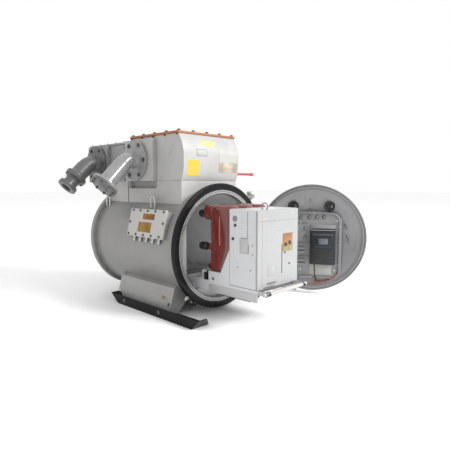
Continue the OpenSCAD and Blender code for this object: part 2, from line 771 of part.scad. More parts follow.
// All that lies outside the dish's inner face, to seat what stands on it
module dish_space() {
    swung() turned(door_front, concat(dish_curve(dish_t), [[dish_edge, -200], [0, -200]]));
}
module door_arms() {
    color("silver") swung() difference() {
        for (z = arm_zs) translate([0, 0, z - arm_h / 2]) linear_extrude(arm_h) {
            difference() {
                union() {
                    translate([hinge_x, hinge_y]) circle(r = pin_r + 14);
                    translate([hinge_x - 14, door_front - 16]) square([30, hinge_y - door_front]);
                    translate([wing_x, door_front - 16]) square([hinge_x - wing_x, 16]);
                }
                translate([hinge_x, hinge_y]) circle(r = pin_r + pin_gap);
            }
        }
        turned(door_front - 40, [[0, 0], [dish_edge + 2, 0], [dish_edge + 2, 80], [0, 80]]);
    }
}
// Places children on the door's inner side: x to the hinge side, y out of the door, z up
module on_door(x, z, y = 0) {
    swung() translate([x, door_back + y, z]) children();
}
module door_ports() {
    out = door_rim_t + dish_depth - 12;   // from the dish to the port's face
    color("#303030") difference() {
        for (x = [port_right, -port_left]) on_door(x, axis_z + port_rise, -out)
            rotate([-90, 0, 0]) difference() {
                cylinder(r = port_r, h = 64);
                translate([0, 0, 64 - port_recess]) cylinder(r = 0.78 * port_r, h = 30);
            }
        dish_space();
    }
}
panel_left = panel_right - panel_w;
panel_z = axis_z - panel_drop;
module instrument_panel() {
    corner = 0.12 * panel_w;
    color("lightgray") difference() {
        union() {
            on_door(0, 0, -panel_inset) slab_y(0, panel_t, [[panel_left + corner, panel_z], [panel_right, panel_z],
                [panel_right, panel_z + panel_h], [panel_left + corner, panel_z + panel_h],
                [panel_left, panel_z + panel_h - corner], [panel_left, panel_z + corner]]);
            for (x = [panel_left + 40, panel_right - 40], z = [panel_z + 60, panel_z + panel_h - 60])
                on_door(x, z, -door_rim_t - dish_depth) rotate([-90, 0, 0])
                    cylinder(r = 10, h = door_rim_t + dish_depth - panel_inset + eps);
        }
        dish_space();
    }
}
module relay() {
    color("#303844") on_door(5 - relay_w, axis_z - relay_drop, panel_t - panel_inset)
        cube([relay_w, relay_d, relay_h]);
}
module push_buttons() {
    spots = [[89, button_rise - 3], [15, button_rise - 1], [-49, button_rise + 1], [-109, button_rise + 3],
             [48, button_rise - 98], [47, button_rise - 178]];
    color("#303030") for (p = spots) on_door(p[0], axis_z + p[1], panel_t - panel_inset)
        rotate([-90, 0, 0]) cylinder(r = button_r, h = 34);
}
module wire_duct() {
    color("silver") on_door(panel_left + 10, panel_z + 22, panel_t - panel_inset)
        cube([22, panel_inset - panel_t, panel_h - 110]);   // flush with the rim's face, clear of the mouth
}

// ---------- circuit breaker ----------
module breaker_housing() {
    color("white") translate([-breaker_w / 2, breaker_y0 + 14, breaker_z])
        cube([breaker_w, breaker_d - 14, breaker_h]);
}
module breaker_front() {
    color("white") translate([-breaker_w / 2, breaker_y0, breaker_z])
        cube([breaker_w, 14, breaker_h]);
}
module pole() {
    y0 = pole_y0;
    y1 = pole_y1;
    pole_top = breaker_top + pole_rise;
    slab_x(-pole_w / 2, pole_w, [[y0, pole_shoulder_z], [y0 + pole_slant, pole_foot_z], [y1, pole_foot_z],
        [y1, pole_top - 34], [y1 - 10, pole_top - 10], [y1 - 34, pole_top], [y0 + 34, pole_top],
        [y0 + 10, pole_top - 10], [y0, pole_top - 34]]);
    bar_y(0, y1 - 20, upper_arm_z, head_r, head_len + 20);
    bar_y(0, y1 - 20, lower_arm_z, bush_r, bush_len + 20);
}
module breaker_poles() {
    color("#7d2a26") for (i = [-1:1]) translate([i * pole_pitch, 0, 0]) pole();
}
module contact_arms() {
    color("#38302c") for (i = [-1:1], row = [[lower_arm_z, bush_len], [upper_arm_z, head_len]]) {
        bar_y(i * pole_pitch, pole_y1 + row[1], row[0], arm_r, arm_len - row[1]);
        bar_y(i * pole_pitch, pole_y1 + arm_len - contact_len, row[0], contact_r, contact_len);
    }
}
module truck_frame() {
    half = breaker_w / 2;
    seat = pole_foot_z - 4;
    color("whitesmoke") {
        mirrored() translate([half - side_t, breaker_y0, frame_z])
            cube([side_t, runner_len, breaker_z - frame_z]);
        for (y = [breaker_y0 + 30, breaker_y1 + 180, breaker_y0 + runner_len - 60])
            translate([-half + side_t, y, breaker_z - 30])
                cube([breaker_w - 2 * side_t, 40, 30]);
        mirrored() slab_x(half - side_t, side_t, [[breaker_y1, breaker_z - eps],
            [pole_y1 + 20, breaker_z - eps], [pole_y1 + 20, seat], [pole_y0 + pole_slant, seat],
            [breaker_y1, pole_shoulder_z]]);
    }
}
module truck_rollers() {
    roller_z = floor_z + 0.3 + roller_r;
    x = breaker_w / 2 - side_t - 18;
    color("gray") mirrored() for (y = [runner_len - 30, runner_len - 190]) {
        bar_x(x, breaker_y0 + y, roller_z, roller_r, 14);
        bar_x(x, breaker_y0 + y, roller_z, 0.4 * roller_r, 18);
    }
}
module pull_bar() {
    y = breaker_y0 - pull_out;
    x = breaker_w / 2 - side_t;
    color("white") {
        bar_x(-x - 26, y, pull_z, pull_r, 2 * x + 40);
        mirrored() translate([x - 8, y, pull_z - 16]) cube([8, pull_out + 30, 26]);
    }
}

tank_shell();
mouth_flange();
locking_ring();
rear_flange();
rear_cover();
guide_rails();
contact_plate();
front_throat();
rear_throat();
front_box();
front_box_cover();
rear_box();
rear_box_cover();
front_elbow_pad();
rear_elbow_pad();
front_elbow();
rear_elbow();
front_end_cover();
rear_gland();
terminal_box();
terminal_box_cover();
terminal_glands();
lifting_eyes();
left_leg();
right_leg();
left_skid();
right_skid();
hinge_brackets();
hinge_pin();
earthing_lever();
door_dish();
door_rim();
door_arms();
door_ports();
instrument_panel();
relay();
push_buttons();
wire_duct();
breaker_housing();
breaker_front();
breaker_poles();
contact_arms();
truck_frame();
truck_rollers();
pull_bar();
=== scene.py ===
import math
import bmesh
import bpy
import numpy as np
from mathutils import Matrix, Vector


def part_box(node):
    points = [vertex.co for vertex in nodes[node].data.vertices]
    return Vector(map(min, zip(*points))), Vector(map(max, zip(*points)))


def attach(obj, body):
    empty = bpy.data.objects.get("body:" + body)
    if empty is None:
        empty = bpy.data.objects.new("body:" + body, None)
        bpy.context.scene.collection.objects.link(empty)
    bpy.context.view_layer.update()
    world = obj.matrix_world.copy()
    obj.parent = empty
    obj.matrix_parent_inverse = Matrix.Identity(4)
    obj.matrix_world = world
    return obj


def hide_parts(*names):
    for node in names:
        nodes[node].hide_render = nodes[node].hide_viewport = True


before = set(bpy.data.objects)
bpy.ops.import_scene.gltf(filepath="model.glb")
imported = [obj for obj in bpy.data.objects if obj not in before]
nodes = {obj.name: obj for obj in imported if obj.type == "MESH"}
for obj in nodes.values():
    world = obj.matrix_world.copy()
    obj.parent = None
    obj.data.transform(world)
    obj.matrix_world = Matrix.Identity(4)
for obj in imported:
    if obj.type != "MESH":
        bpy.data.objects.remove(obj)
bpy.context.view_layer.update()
print("frame loaded,", len(nodes), "nodes")

view = {"place": (-2.226, -2.508, 0.954), "turn": -45.754, "tilt": -5.421, "lens": 33.21, "sensor": 36}
studio = {"floorSize": 60, "floorTone": 0.95, "floorRough": 0.7, "skyTone": 1.0, "skyPower": 1.0,
          "keyPlace": (3.4, -8.6, 6.6), "keyTarget": (0.1, 0.0, 0.65), "keySize": 4.6, "keyPower": 1400}


def placed(name, data, place=(0, 0, 0), turned=(0, 0, 0)):
    thing = bpy.data.objects.new(name, data)
    thing.location, thing.rotation_euler = place, turned
    bpy.context.scene.collection.objects.link(thing)
    return thing


cameraData = bpy.data.cameras.new("camera")
cameraData.lens, cameraData.sensor_width = view["lens"], view["sensor"]
camera = placed("camera", cameraData, view["place"], (math.radians(90 + view["tilt"]), 0, math.radians(view["turn"])))
bpy.context.scene.camera = camera
keyData = bpy.data.lights.new("keyLight", "AREA")
keyData.shape, keyData.size, keyData.energy = "DISK", studio["keySize"], studio["keyPower"]
away = np.array(studio["keyPlace"]) - studio["keyTarget"]  # the lamp shines along its own -Z
keyTurn = (math.acos(away[2] / np.linalg.norm(away)), 0, math.atan2(away[1], away[0]) + math.pi / 2)
placed("keyLight", keyData, studio["keyPlace"], keyTurn)
world = bpy.data.worlds.new("studio")
bpy.context.scene.world = world
world.use_nodes = True
sky = world.node_tree.nodes["Background"]
sky.inputs["Color"].default_value = (studio["skyTone"],) * 3 + (1,)
sky.inputs["Strength"].default_value = studio["skyPower"]
bpy.context.scene.view_settings.view_transform = "Standard"
print("camera and light set")


def newGroup(name, inputs, outputs):
    # a value given as a tuple is a colour, and so is the output called Color
    tree = bpy.data.node_groups.new(name, "ShaderNodeTree")
    for label, value in inputs.items():
        kind = "NodeSocketColor" if isinstance(value, tuple) else "NodeSocketFloat"
        tree.interface.new_socket(label, in_out="INPUT", socket_type=kind).default_value = value
    for label in outputs:
        kind = "NodeSocketColor" if label == "Color" else "NodeSocketFloat"
        tree.interface.new_socket(label, in_out="OUTPUT", socket_type=kind)
    coords = tree.nodes.new("ShaderNodeTexCoord").outputs["Object"]
    given, out = tree.nodes.new("NodeGroupInput").outputs, tree.nodes.new("NodeGroupOutput").inputs
    return tree, coords, given, out


def feed(socket, value):
    # a number or a colour is set on the socket, and an output is linked to it
    if isinstance(value, (int, float, tuple)):
        socket.default_value = value
    else:
        socket.id_data.links.new(value, socket)


def newNode(kind, *values):
    # a node in the tree that the first linked value belongs to
    tree = next(value.id_data for value in values if not isinstance(value, (int, float, tuple)))
    return tree.nodes.new(kind)


def maths(kind, *values):
    node = newNode("ShaderNodeMath", *values)
    node.operation = kind
    for socket, value in zip(node.inputs, values):
        feed(socket, value)
    return node.outputs[0]


def times(first, second):
    return maths("MULTIPLY", first, second)


def plus(first, second):
    return maths("ADD", first, second)


def less(first, second):
    return maths("SUBTRACT", first, second)


def noise(coords, scale, detail=3, rough=0.5, stretch=None):
    if stretch:
        mapping = newNode("ShaderNodeMapping", coords)
        feed(mapping.inputs["Scale"], stretch)
        feed(mapping.inputs["Vector"], coords)
        coords = mapping.outputs["Vector"]
    node = newNode("ShaderNodeTexNoise", coords)
    for label, value in (("Vector", coords), ("Scale", scale), ("Detail", detail), ("Roughness", rough)):
        feed(node.inputs[label], value)
    return node.outputs["Fac"]


def spread(value, low, high, outLow=0.0, outHigh=1.0):
    # a soft step: value from low to high becomes outLow to outHigh
    node = newNode("ShaderNodeMapRange", value)
    node.interpolation_type = "SMOOTHSTEP"
    ends = {"Value": value, "From Min": low, "From Max": high, "To Min": outLow, "To Max": outHigh}
    for label, number in ends.items():
        feed(node.inputs[label], number)
    return node.outputs["Result"]


def blendColour(share, first, second, kind="MIX"):
    node = newNode("ShaderNodeMix", share, first, second)
    node.data_type = "RGBA"
    node.blend_type = kind
    for label, value in (("Factor_Float", share), ("A_Color", first), ("B_Color", second)):
        feed(next(s for s in node.inputs if s.identifier == label), value)
    return next(s for s in node.outputs if s.identifier == "Result_Color")


def makePaintCoat():
    # paint whose tone drifts, with dust in blots and runs, chips, and an orange-peel surface
    tree, coords, given, out = newGroup("paintCoat", {
        "Paint": (0.6, 0.6, 0.6, 1), "Dust": (0.35, 0.32, 0.27, 1), "Mottle": 0.1, "Dirt": 0.15, "Chips": 0.0,
        "Gloss": 0.4, "Peel": 0.2, "Scale": 1.0}, ("Color", "Roughness", "Height"))
    broad = noise(coords, times(given["Scale"], 3.2), 4, 0.55)
    grain = noise(coords, times(given["Scale"], 190), 2, 0.5)
    streak = noise(coords, times(given["Scale"], 1.0), 5, 0.6, (26, 26, 1.6))
    blot = noise(coords, times(given["Scale"], 9), 8, 0.68)
    fleck = noise(coords, times(given["Scale"], 60), 5, 0.7)
    half = times(given["Mottle"], 0.5)
    tone = spread(broad, 0.3, 0.7, less(1.0, half), plus(1.0, half))
    toned = blendColour(1.0, given["Paint"], tone, "MULTIPLY")
    grime = maths("MAXIMUM", spread(blot, 0.52, 0.74), spread(streak, 0.56, 0.78))
    grime = times(grime, given["Dirt"])
    dusty = blendColour(grime, toned, given["Dust"])
    chip = times(spread(fleck, 0.66, 0.7), given["Chips"])
    feed(out["Color"], blendColour(chip, dusty, given["Dust"]))
    sheen = plus(given["Gloss"], times(grime, 0.45))
    feed(out["Roughness"], plus(sheen, spread(broad, 0.3, 0.7, -0.05, 0.07)))
    peel = times(plus(grain, times(broad, 0.6)), given["Peel"])
    feed(out["Height"], less(peel, times(chip, 0.8)))
    return tree


def makeTurnedMetal(axisHeight=0.499):
    # fine turning lines about the tank's axis: a one-way noise of the distance from that axis, with stains
    tree, coords, given, out = newGroup("turnedMetal", {
        "Metal": (0.55, 0.55, 0.54, 1), "Stain": (0.2, 0.16, 0.12, 1), "Lines": 900.0, "Depth": 0.5, "Age": 0.2,
        "Gloss": 0.3}, ("Color", "Roughness", "Height"))
    parts = tree.nodes.new("ShaderNodeSeparateXYZ")
    feed(parts.inputs[0], coords)
    flat = tree.nodes.new("ShaderNodeCombineXYZ")
    feed(flat.inputs["X"], parts.outputs["X"])
    feed(flat.inputs["Z"], less(parts.outputs["Z"], axisHeight))
    reach = tree.nodes.new("ShaderNodeVectorMath")
    reach.operation = "LENGTH"
    feed(reach.inputs[0], flat.outputs[0])
    rings = tree.nodes.new("ShaderNodeTexNoise")
    rings.noise_dimensions = "1D"
    for label, value in (("Detail", 2), ("W", reach.outputs["Value"]), ("Scale", given["Lines"])):
        feed(rings.inputs[label], value)
    lines = rings.outputs["Fac"]
    aged = times(spread(noise(coords, 26, 7, 0.66), 0.5, 0.72), given["Age"])
    lined = blendColour(1.0, given["Metal"], spread(lines, 0.3, 0.7, 0.82, 1.08), "MULTIPLY")
    feed(out["Color"], blendColour(aged, lined, given["Stain"]))
    worn = plus(given["Gloss"], times(aged, 0.4))
    feed(out["Roughness"], plus(worn, spread(lines, 0.3, 0.7, -0.06, 0.06)))
    feed(out["Height"], times(lines, given["Depth"]))
    return tree


def makeRustyMetal():
    # bare metal with rust where a noise passes an edge that Amount moves
    tree, coords, given, out = newGroup("rustyMetal", {
        "Metal": (0.4, 0.4, 0.38, 1), "Rust": (0.22, 0.09, 0.03, 1), "Amount": 0.5, "Gloss": 0.4,
        "Scale": 1.0}, ("Color", "Roughness", "Metal Share", "Height"))
    blot = noise(coords, times(given["Scale"], 34), 8, 0.7)
    fine = noise(coords, times(given["Scale"], 260), 3, 0.6)
    edge = less(0.78, times(given["Amount"], 0.5))
    rusted = spread(blot, less(edge, 0.08), plus(edge, 0.08))
    darkRust = blendColour(1.0, given["Rust"], (0.45, 0.4, 0.4, 1), "MULTIPLY")
    deep = blendColour(spread(fine, 0.35, 0.7), given["Rust"], darkRust)
    feed(out["Color"], blendColour(rusted, given["Metal"], deep))
    feed(out["Roughness"], plus(given["Gloss"], times(rusted, 0.4)))
    feed(out["Metal Share"], less(1.0, rusted))
    feed(out["Height"], times(fine, rusted))
    return tree


effects = {"paintCoat": makePaintCoat(), "turnedMetal": makeTurnedMetal(), "rustyMetal": makeRustyMetal()}


def makeFinish(name, effect, values, metallic=0.0, bump=0.25, depth=0.0008, coat=0.0, specular=0.5):
    look = bpy.data.materials.new(name)
    look.use_nodes = True
    tree = look.node_tree
    shader = tree.nodes["Principled BSDF"].inputs
    layer = tree.nodes.new("ShaderNodeGroup")
    layer.node_tree = effects[effect]
    for label, value in values.items():
        layer.inputs[label].default_value = value + (1,) if isinstance(value, tuple) else value
    dents = tree.nodes.new("ShaderNodeBump")
    for socket, value in ((shader["Base Color"], layer.outputs["Color"]),
                          (shader["Roughness"], layer.outputs["Roughness"]),
                          (shader["Coat Weight"], coat), (shader["Coat Roughness"], 0.1),
                          (shader["Specular IOR Level"], specular),
                          (dents.inputs["Strength"], bump), (dents.inputs["Distance"], depth),
                          (dents.inputs["Height"], layer.outputs["Height"]),
                          (shader["Normal"], dents.outputs["Normal"])):
        feed(socket, value)
    feed(shader["Metallic"], layer.outputs["Metal Share"] if effect == "rustyMetal" else metallic)
    return look


dust, grit, sand = (0.16, 0.14, 0.11), (0.35, 0.32, 0.27), (0.4, 0.38, 0.3)
paints = {  # record slot, linear colour, dust, mottle, dirt, gloss and peel, then what a plain coat does not have
    "tankGrey": ("tank_grey", (0.215, 0.213, 0.209), dust, 0.14, 0.12, 0.36, 0.3, {"coat": 0.12}),
    "boxPale": ("tank_grey", (0.35, 0.348, 0.342), dust, 0.14, 0.12, 0.36, 0.3, {"coat": 0.12}),
    # the breaker's front takes a greyer copy of its white, darkened where the key light falls on it: painted shade
    "breakerFace": ("breaker_white", (0.29, 0.292, 0.294), dust, 0.05, 0.05, 0.3, 0.25, {"coat": 0.2}),
    "legGrey": ("tank_grey", (0.31, 0.308, 0.302), dust, 0.16, 0.16, 0.38, 0.3, {"coat": 0.1}),
    # the inside's near-white grey is partly pale inside paint, partly painted light for the closed tank's inside,
    # which the lamps hardly reach
    "innerPale": ("inner_grey", (0.88, 0.885, 0.89), dust, 0.08, 0.08, 0.5, 0.2),
    "crossGrey": ("inner_grey", (0.1, 0.1, 0.1), dust, 0.2, 0.25, 0.45, 0.3),
    "boxGrey": ("box_grey", (0.235, 0.235, 0.24), dust, 0.16, 0.25, 0.42, 0.4),
    "elbowGrey": ("elbow_grey", (0.215, 0.215, 0.215), dust, 0.12, 0.18, 0.2, 0.8, {"coat": 0.55, "bump": 0.35}),
    "farElbow": ("elbow_grey", (0.085, 0.085, 0.088), (0.05, 0.047, 0.042), 0.3, 0.5, 0.36, 0.9,
        {"coat": 0.12, "bump": 0.4}),
    "innerGrey": ("inner_grey", (0.5, 0.505, 0.51), dust, 0.1, 0.15, 0.5, 0.3),
    "ringBlack": ("ring_black", (0.007, 0.007, 0.008), (0.08, 0.075, 0.07), 0.3, 0.05, 0.16, 0.3,
        {"Chips": 0.12, "specular": 0.17}),
    "skidBlack": ("skid_black", (0.006, 0.006, 0.007), (0.04, 0.037, 0.034), 0.3, 0.12, 0.24, 0.4,
        {"Chips": 0.2, "specular": 0.12}),
    "coverOrange": ("cover_orange", (0.3, 0.115, 0.045), (0.12, 0.05, 0.02), 0.25, 0.5, 0.5, 0.5, {"Chips": 0.6}),
    "coverWhite": ("cover_white", (0.42, 0.41, 0.385), dust, 0.08, 0.1, 0.34, 0.4, {"coat": 0.15}),
    "leverRed": ("lever_red", (0.36, 0.06, 0.065), (0.1, 0.05, 0.04), 0.1, 0.2, 0.28, 0.4, {"coat": 0.3}),
    "doorGrey": ("door_grey", (0.27, 0.27, 0.276), dust, 0.22, 0.35, 0.34, 0.5, {"coat": 0.1}),
    "panelGrey": ("panel_grey", (0.24, 0.24, 0.246), dust, 0.08, 0.1, 0.36, 0.2),
    "portBlack": ("port_black", (0.012, 0.012, 0.013), (0.07, 0.065, 0.06), 0.2, 0.2, 0.45, 0.6),
    "relayCase": ("relay_case", (0.014, 0.017, 0.021), (0.1, 0.1, 0.1), 0.12, 0.08, 0.33, 0.9,
        {"Scale": 2.0, "bump": 0.4, "specular": 0.35}),
    "breakerWhite": ("breaker_white", (0.51, 0.515, 0.52), dust, 0.05, 0.05, 0.3, 0.25, {"coat": 0.2}),
    "epoxyRed": ("epoxy_red", (0.135, 0.014, 0.012), (0.09, 0.05, 0.04), 0.3, 0.15, 0.22, 0.3, {"coat": 0.6}),
    "contactDark": ("contact_dark", (0.014, 0.013, 0.012), (0.08, 0.06, 0.04), 0.3, 0.25, 0.32, 0.4, {"coat": 0.15}),
    "pullCream": ("breaker_white", (0.38, 0.377, 0.36), dust, 0.08, 0.15, 0.28, 0.2, {"coat": 0.2}),
    "plateCopper": ("plated_steel", (0.27, 0.1, 0.02), (0.12, 0.06, 0.015), 0.5, 0.6, 0.32, 0.3,
        {"Scale": 5.0, "metallic": 0.6}),
    "plateYellow": ("cover_orange", (0.68, 0.36, 0.02), (0.3, 0.2, 0.05), 0.12, 0.2, 0.25, 0.1, {"coat": 0.3}),
    "stripYellow": ("cover_orange", (0.5, 0.47, 0.16), sand, 0.3, 0.5, 0.3, 0.1, {"Scale": 4.0}),
    "trunkGrey": ("panel_grey", (0.17, 0.17, 0.175), dust, 0.15, 0.2, 0.5, 0.2),
    "fittingGrey": ("panel_grey", (0.24, 0.235, 0.225), dust, 0.3, 0.4, 0.42, 0.2),
    # a darker copy of the door's grey for the rim: painted shade for the rim's outer face
    "rimGrey": ("door_grey", (0.19, 0.19, 0.194), dust, 0.25, 0.4, 0.32, 0.5, {"Chips": 0.2, "coat": 0.1}),
    "labelPale": ("cover_white", (0.37, 0.37, 0.345), sand, 0.1, 0.2, 0.4, 0.1),
    # a near-black copy of the elbow's grey for the front end cover: painted shade on its face, which looks down and
    # away
    "coverGrey": ("elbow_grey", (0.085, 0.085, 0.084), dust, 0.2, 0.3, 0.36, 0.5, {"coat": 0.1}),
    "weldGrey": ("tank_grey", (0.2, 0.2, 0.195), dust, 0.25, 0.35, 0.4, 0.6),
    "platedPale": ("plated_steel", (0.55, 0.55, 0.53), (0.25, 0.22, 0.16), 0.15, 0.25, 0.3, 0.3, {"metallic": 0.25}),
    "sealRubber": ("contact_dark", (0.03, 0.03, 0.031), (0.1, 0.09, 0.08), 0.2, 0.2, 0.55, 0.4),
    "plateRust": ("cover_white", (0.36, 0.3, 0.23), (0.33, 0.33, 0.3), 0.5, 0.8, 0.42, 0.2, {"Scale": 4.0}),
    "plateBrass": ("plated_steel", (0.27, 0.145, 0.02), (0.1, 0.065, 0.012), 0.5, 0.6, 0.34, 0.3,
        {"Scale": 5.0, "metallic": 0.5}),
    "plateOrange": ("cover_orange", (0.29, 0.13, 0.048), (0.25, 0.16, 0.08), 0.5, 0.5, 0.36, 0.2, {"Scale": 5.0}),
    "plateOlive": ("cover_orange", (0.2, 0.165, 0.07), (0.12, 0.1, 0.05), 0.5, 0.5, 0.36, 0.2, {"Scale": 5.0}),
    "relayTrim": ("relay_case", (0.05, 0.055, 0.065), grit, 0.1, 0.1, 0.4, 0.2),
    "relayScreen": ("relay_case", (0.1, 0.11, 0.125), (0.14, 0.14, 0.14), 0.2, 0.1, 0.12, 0.05, {"coat": 0.4}),
    "relayKey": ("relay_case", (0.035, 0.055, 0.12), grit, 0.1, 0.1, 0.4, 0.2),
    "stripSilver": ("panel_grey", (0.6, 0.6, 0.6), (0.25, 0.24, 0.22), 0.15, 0.2, 0.28, 0.2, {"metallic": 0.4}),
    "leadRed": ("epoxy_red", (0.3, 0.12, 0.09), grit, 0.2, 0.2, 0.4, 0.2),
    # a paler epoxy for the poles' ribs: painted highlight along them
    "epoxyRib": ("epoxy_red", (0.4, 0.12, 0.08), (0.2, 0.1, 0.06), 0.2, 0.2, 0.22, 0.2, {"coat": 0.4}),
    "bushOrange": ("epoxy_red", (0.3, 0.045, 0.02), (0.08, 0.03, 0.015), 0.4, 0.4, 0.26, 0.3, {"coat": 0.3}),
    "bushBrown": ("contact_dark", (0.05, 0.015, 0.008), (0.12, 0.04, 0.015), 0.5, 0.5, 0.35, 0.4),
    "slotGrey": ("breaker_white", (0.12, 0.12, 0.12), grit, 0.1, 0.1, 0.5, 0.2),
    "seamGrey": ("breaker_white", (0.19, 0.19, 0.195), grit, 0.1, 0.1, 0.5, 0.2),
    "seamPale": ("breaker_white", (0.34, 0.34, 0.345), grit, 0.1, 0.1, 0.5, 0.2),
    "breakerShade": ("breaker_white", (0.4, 0.4, 0.405), dust, 0.05, 0.08, 0.34, 0.25),
    "markPink": ("breaker_white", (0.4, 0.3, 0.3), dust, 0.1, 0.1, 0.4, 0.1)}
metals = {  # record slot, effect, the effect's own values, and the shader's
    "machinedSteel": ("machined_steel", "turnedMetal", {"Metal": (0.36, 0.36, 0.355), "Age": 0.3, "Gloss": 0.34},
        {"metallic": 0.6, "bump": 0.3, "depth": 0.0004}),
    "platedSteel": ("plated_steel", "rustyMetal", {"Metal": (0.5, 0.5, 0.47), "Amount": 0.12, "Gloss": 0.3},
        {"bump": 0.3, "depth": 0.0004}),
    "dirtySteel": ("plated_steel", "rustyMetal", {"Metal": (0.15, 0.145, 0.13), "Rust": (0.07, 0.045, 0.025),
                                                  "Amount": 0.45, "Gloss": 0.42}, {"bump": 0.5, "depth": 0.0006}),
    "rustyBolt": ("plated_steel", "rustyMetal", {"Metal": (0.3, 0.14, 0.07), "Rust": (0.26, 0.085, 0.03),
                                                 "Amount": 0.9, "Gloss": 0.45}, {"bump": 0.6, "depth": 0.0006})}
finishes, slots = {}, {}
for name, (slot, paint, fallen, mottle, dirt, gloss, peel, *extra) in paints.items():
    values = {"Paint": paint, "Dust": fallen, "Mottle": mottle, "Dirt": dirt, "Gloss": gloss, "Peel": peel}
    special = dict(*extra)
    values.update({label: special.pop(label) for label in ("Chips", "Scale") if label in special})
    finishes[name], slots[name] = makeFinish(name, "paintCoat", values, **special), slot
for name, (slot, effect, values, special) in metals.items():
    finishes[name], slots[name] = makeFinish(name, effect, values, **special), slot
print("finishes made,", len(finishes))

toLeft, toRight, toFront, toRear, upward = (-1, 0, 0), (1, 0, 0), (0, -1, 0), (0, 1, 0), (0, 0, 1)
askew, bothSides = (0.31, 0.17, 0.93), (-1, 1)  # askew is a direction that no path follows


def gridFaces(rows, columns, wrapRows=False, wrapColumns=False):
    # each face joins four neighbours of a grid; a wrapped side joins its last line to its first
    i, j = np.meshgrid(np.arange(rows - (not wrapRows)), np.arange(columns - (not wrapColumns)), indexing="ij")
    down, right = (i + 1) % rows, (j + 1) % columns
    corners = (i * columns + j, i * columns + right, down * columns + right, down * columns + j)
    return np.stack(corners, -1).reshape(-1, 4)


def fullTurn(steps):
    return np.linspace(0, 2 * math.pi, steps, endpoint=False)


def easedProfile(points, ease, loop=False):
    # each corner gives way to three points of a quadratic curve that begins and ends a distance ease from it
    points = np.array(points, float)
    before, after = np.roll(points, 1, axis=0) - points, np.roll(points, -1, axis=0) - points
    first, last = [points + step * np.minimum(ease / np.linalg.norm(step, axis=1, keepdims=True), 0.45)
                   for step in (before, after)]
    eased = np.stack([first, (first + 2 * points + last) / 4, last], 1)
    if not loop:
        eased[0], eased[-1] = points[0], points[-1]
    return eased.reshape(-1, 2)


def turnedShape(profile, sides=48, ease=0, loop=False):
    # each profile point (radius, height) goes once round the Z axis: x is radius times cosine, y is radius times sine
    # a loop joins the last point to the first, as on a ring
    profile = easedProfile(profile, ease, loop) if ease else np.array(profile, float)
    ring = np.stack([np.cos(fullTurn(sides)), np.sin(fullTurn(sides))], -1)
    heights = np.broadcast_to(profile[:, None, 1:], (len(profile), sides, 1))
    points = np.concatenate([profile[:, None, :1] * ring, heights], -1)
    return points.reshape(-1, 3), gridFaces(len(profile), sides, loop, True)


def capped(line, ease):
    # an eased profile whose two ends then run straight to the axis
    return [(0, line[0][1])] + easedProfile(line, ease).tolist() + [(0, line[-1][1])]


def band(inner, outer, start, end):
    # the square section of a ring
    return [(inner, start), (outer, start), (outer, end), (inner, end)]


def knob(*steps):
    # a profile from the axis at its foot, out over each (radius, height), and back to the axis at its top
    return [(0, steps[0][1]), *steps, (0, steps[-1][1])]


def plateShape(width, height, thick, corner=0.004, edge=0.001, steps=6):
    # a rounded rectangle in X and Y, stacked along Z as: middle, inset ring, full ring, full ring, inset ring, middle
    corner = max(corner, edge * 1.01)
    angle = np.linspace(0, math.pi / 2, steps)
    quarter = np.stack([np.cos(angle), np.sin(angle)], -1)
    turn = np.array([[0, -1], [1, 0]])
    arcs = [quarter @ np.linalg.matrix_power(turn, k).T for k in range(4)]
    middles = np.array([[1, 1], [-1, 1], [-1, -1], [1, -1]]) * [width / 2 - corner, height / 2 - corner]
    slope = edge * 0.3
    points = []
    for inset, z in ((None, 0), (edge, 0), (slope, slope), (0, edge), (0, thick - edge), (slope, thick - slope),
                     (edge, thick), (None, thick)):
        outline = np.concatenate([arcs[k] * (corner - (inset or 0)) + middles[k] for k in range(4)])
        points.append(np.column_stack([outline * (inset is not None), np.full(len(outline), z)]))
    return np.concatenate(points), gridFaces(len(points), steps * 4, wrapColumns=True)


def tubeShape(path, radius, sides=16, across=upward, ripple=0.0, loop=False):
    # a circle carried along the path, square to its direction, and closed by its middle point at both ends
    # a ripple lets its radius swell and shrink along the path as a weld does
    path = np.array(path, float)
    way = np.roll(path, -1, axis=0) - np.roll(path, 1, axis=0) if loop else np.gradient(path, axis=0)
    way /= np.linalg.norm(way, axis=1, keepdims=True)
    side = np.cross(way, np.array(across, float))
    side /= np.linalg.norm(side, axis=1, keepdims=True)
    top = np.cross(side, way)
    angle = fullTurn(sides)[None, :, None]
    swell = radius * (1 + ripple * np.sin(np.arange(len(path)) * 1.9))[:, None, None]
    rings = path[:, None] + swell * (np.cos(angle) * side[:, None] + np.sin(angle) * top[:, None])
    if not loop:
        rings = np.concatenate([np.repeat(path[:1, None], sides, 1), rings, np.repeat(path[-1:, None], sides, 1)])
    return rings.reshape(-1, 3), gridFaces(len(rings), sides, loop, True)


def weldBead(path, radius=0.0036, ripple=0.16, loop=False):
    return tubeShape(path, radius, 7, askew, ripple, loop)


def joined(shapes):
    counts = np.cumsum([0] + [len(points) for points, faces in shapes])
    return (np.concatenate([points for points, faces in shapes]),
            np.concatenate([faces + start for (points, faces), start in zip(shapes, counts)]))


def boltShape(radius, high, washer=1.4):
    # a flat washer and a six-sided head with a chamfered top, both turned round Z
    flat = radius * 0.16
    head = [(0, flat), (radius, flat), (radius, flat + high * 0.82), (radius * 0.86, flat + high), (0, flat + high)]
    return joined([turnedShape(band(0, radius * washer, 0, flat), 18), turnedShape(head, 6)])


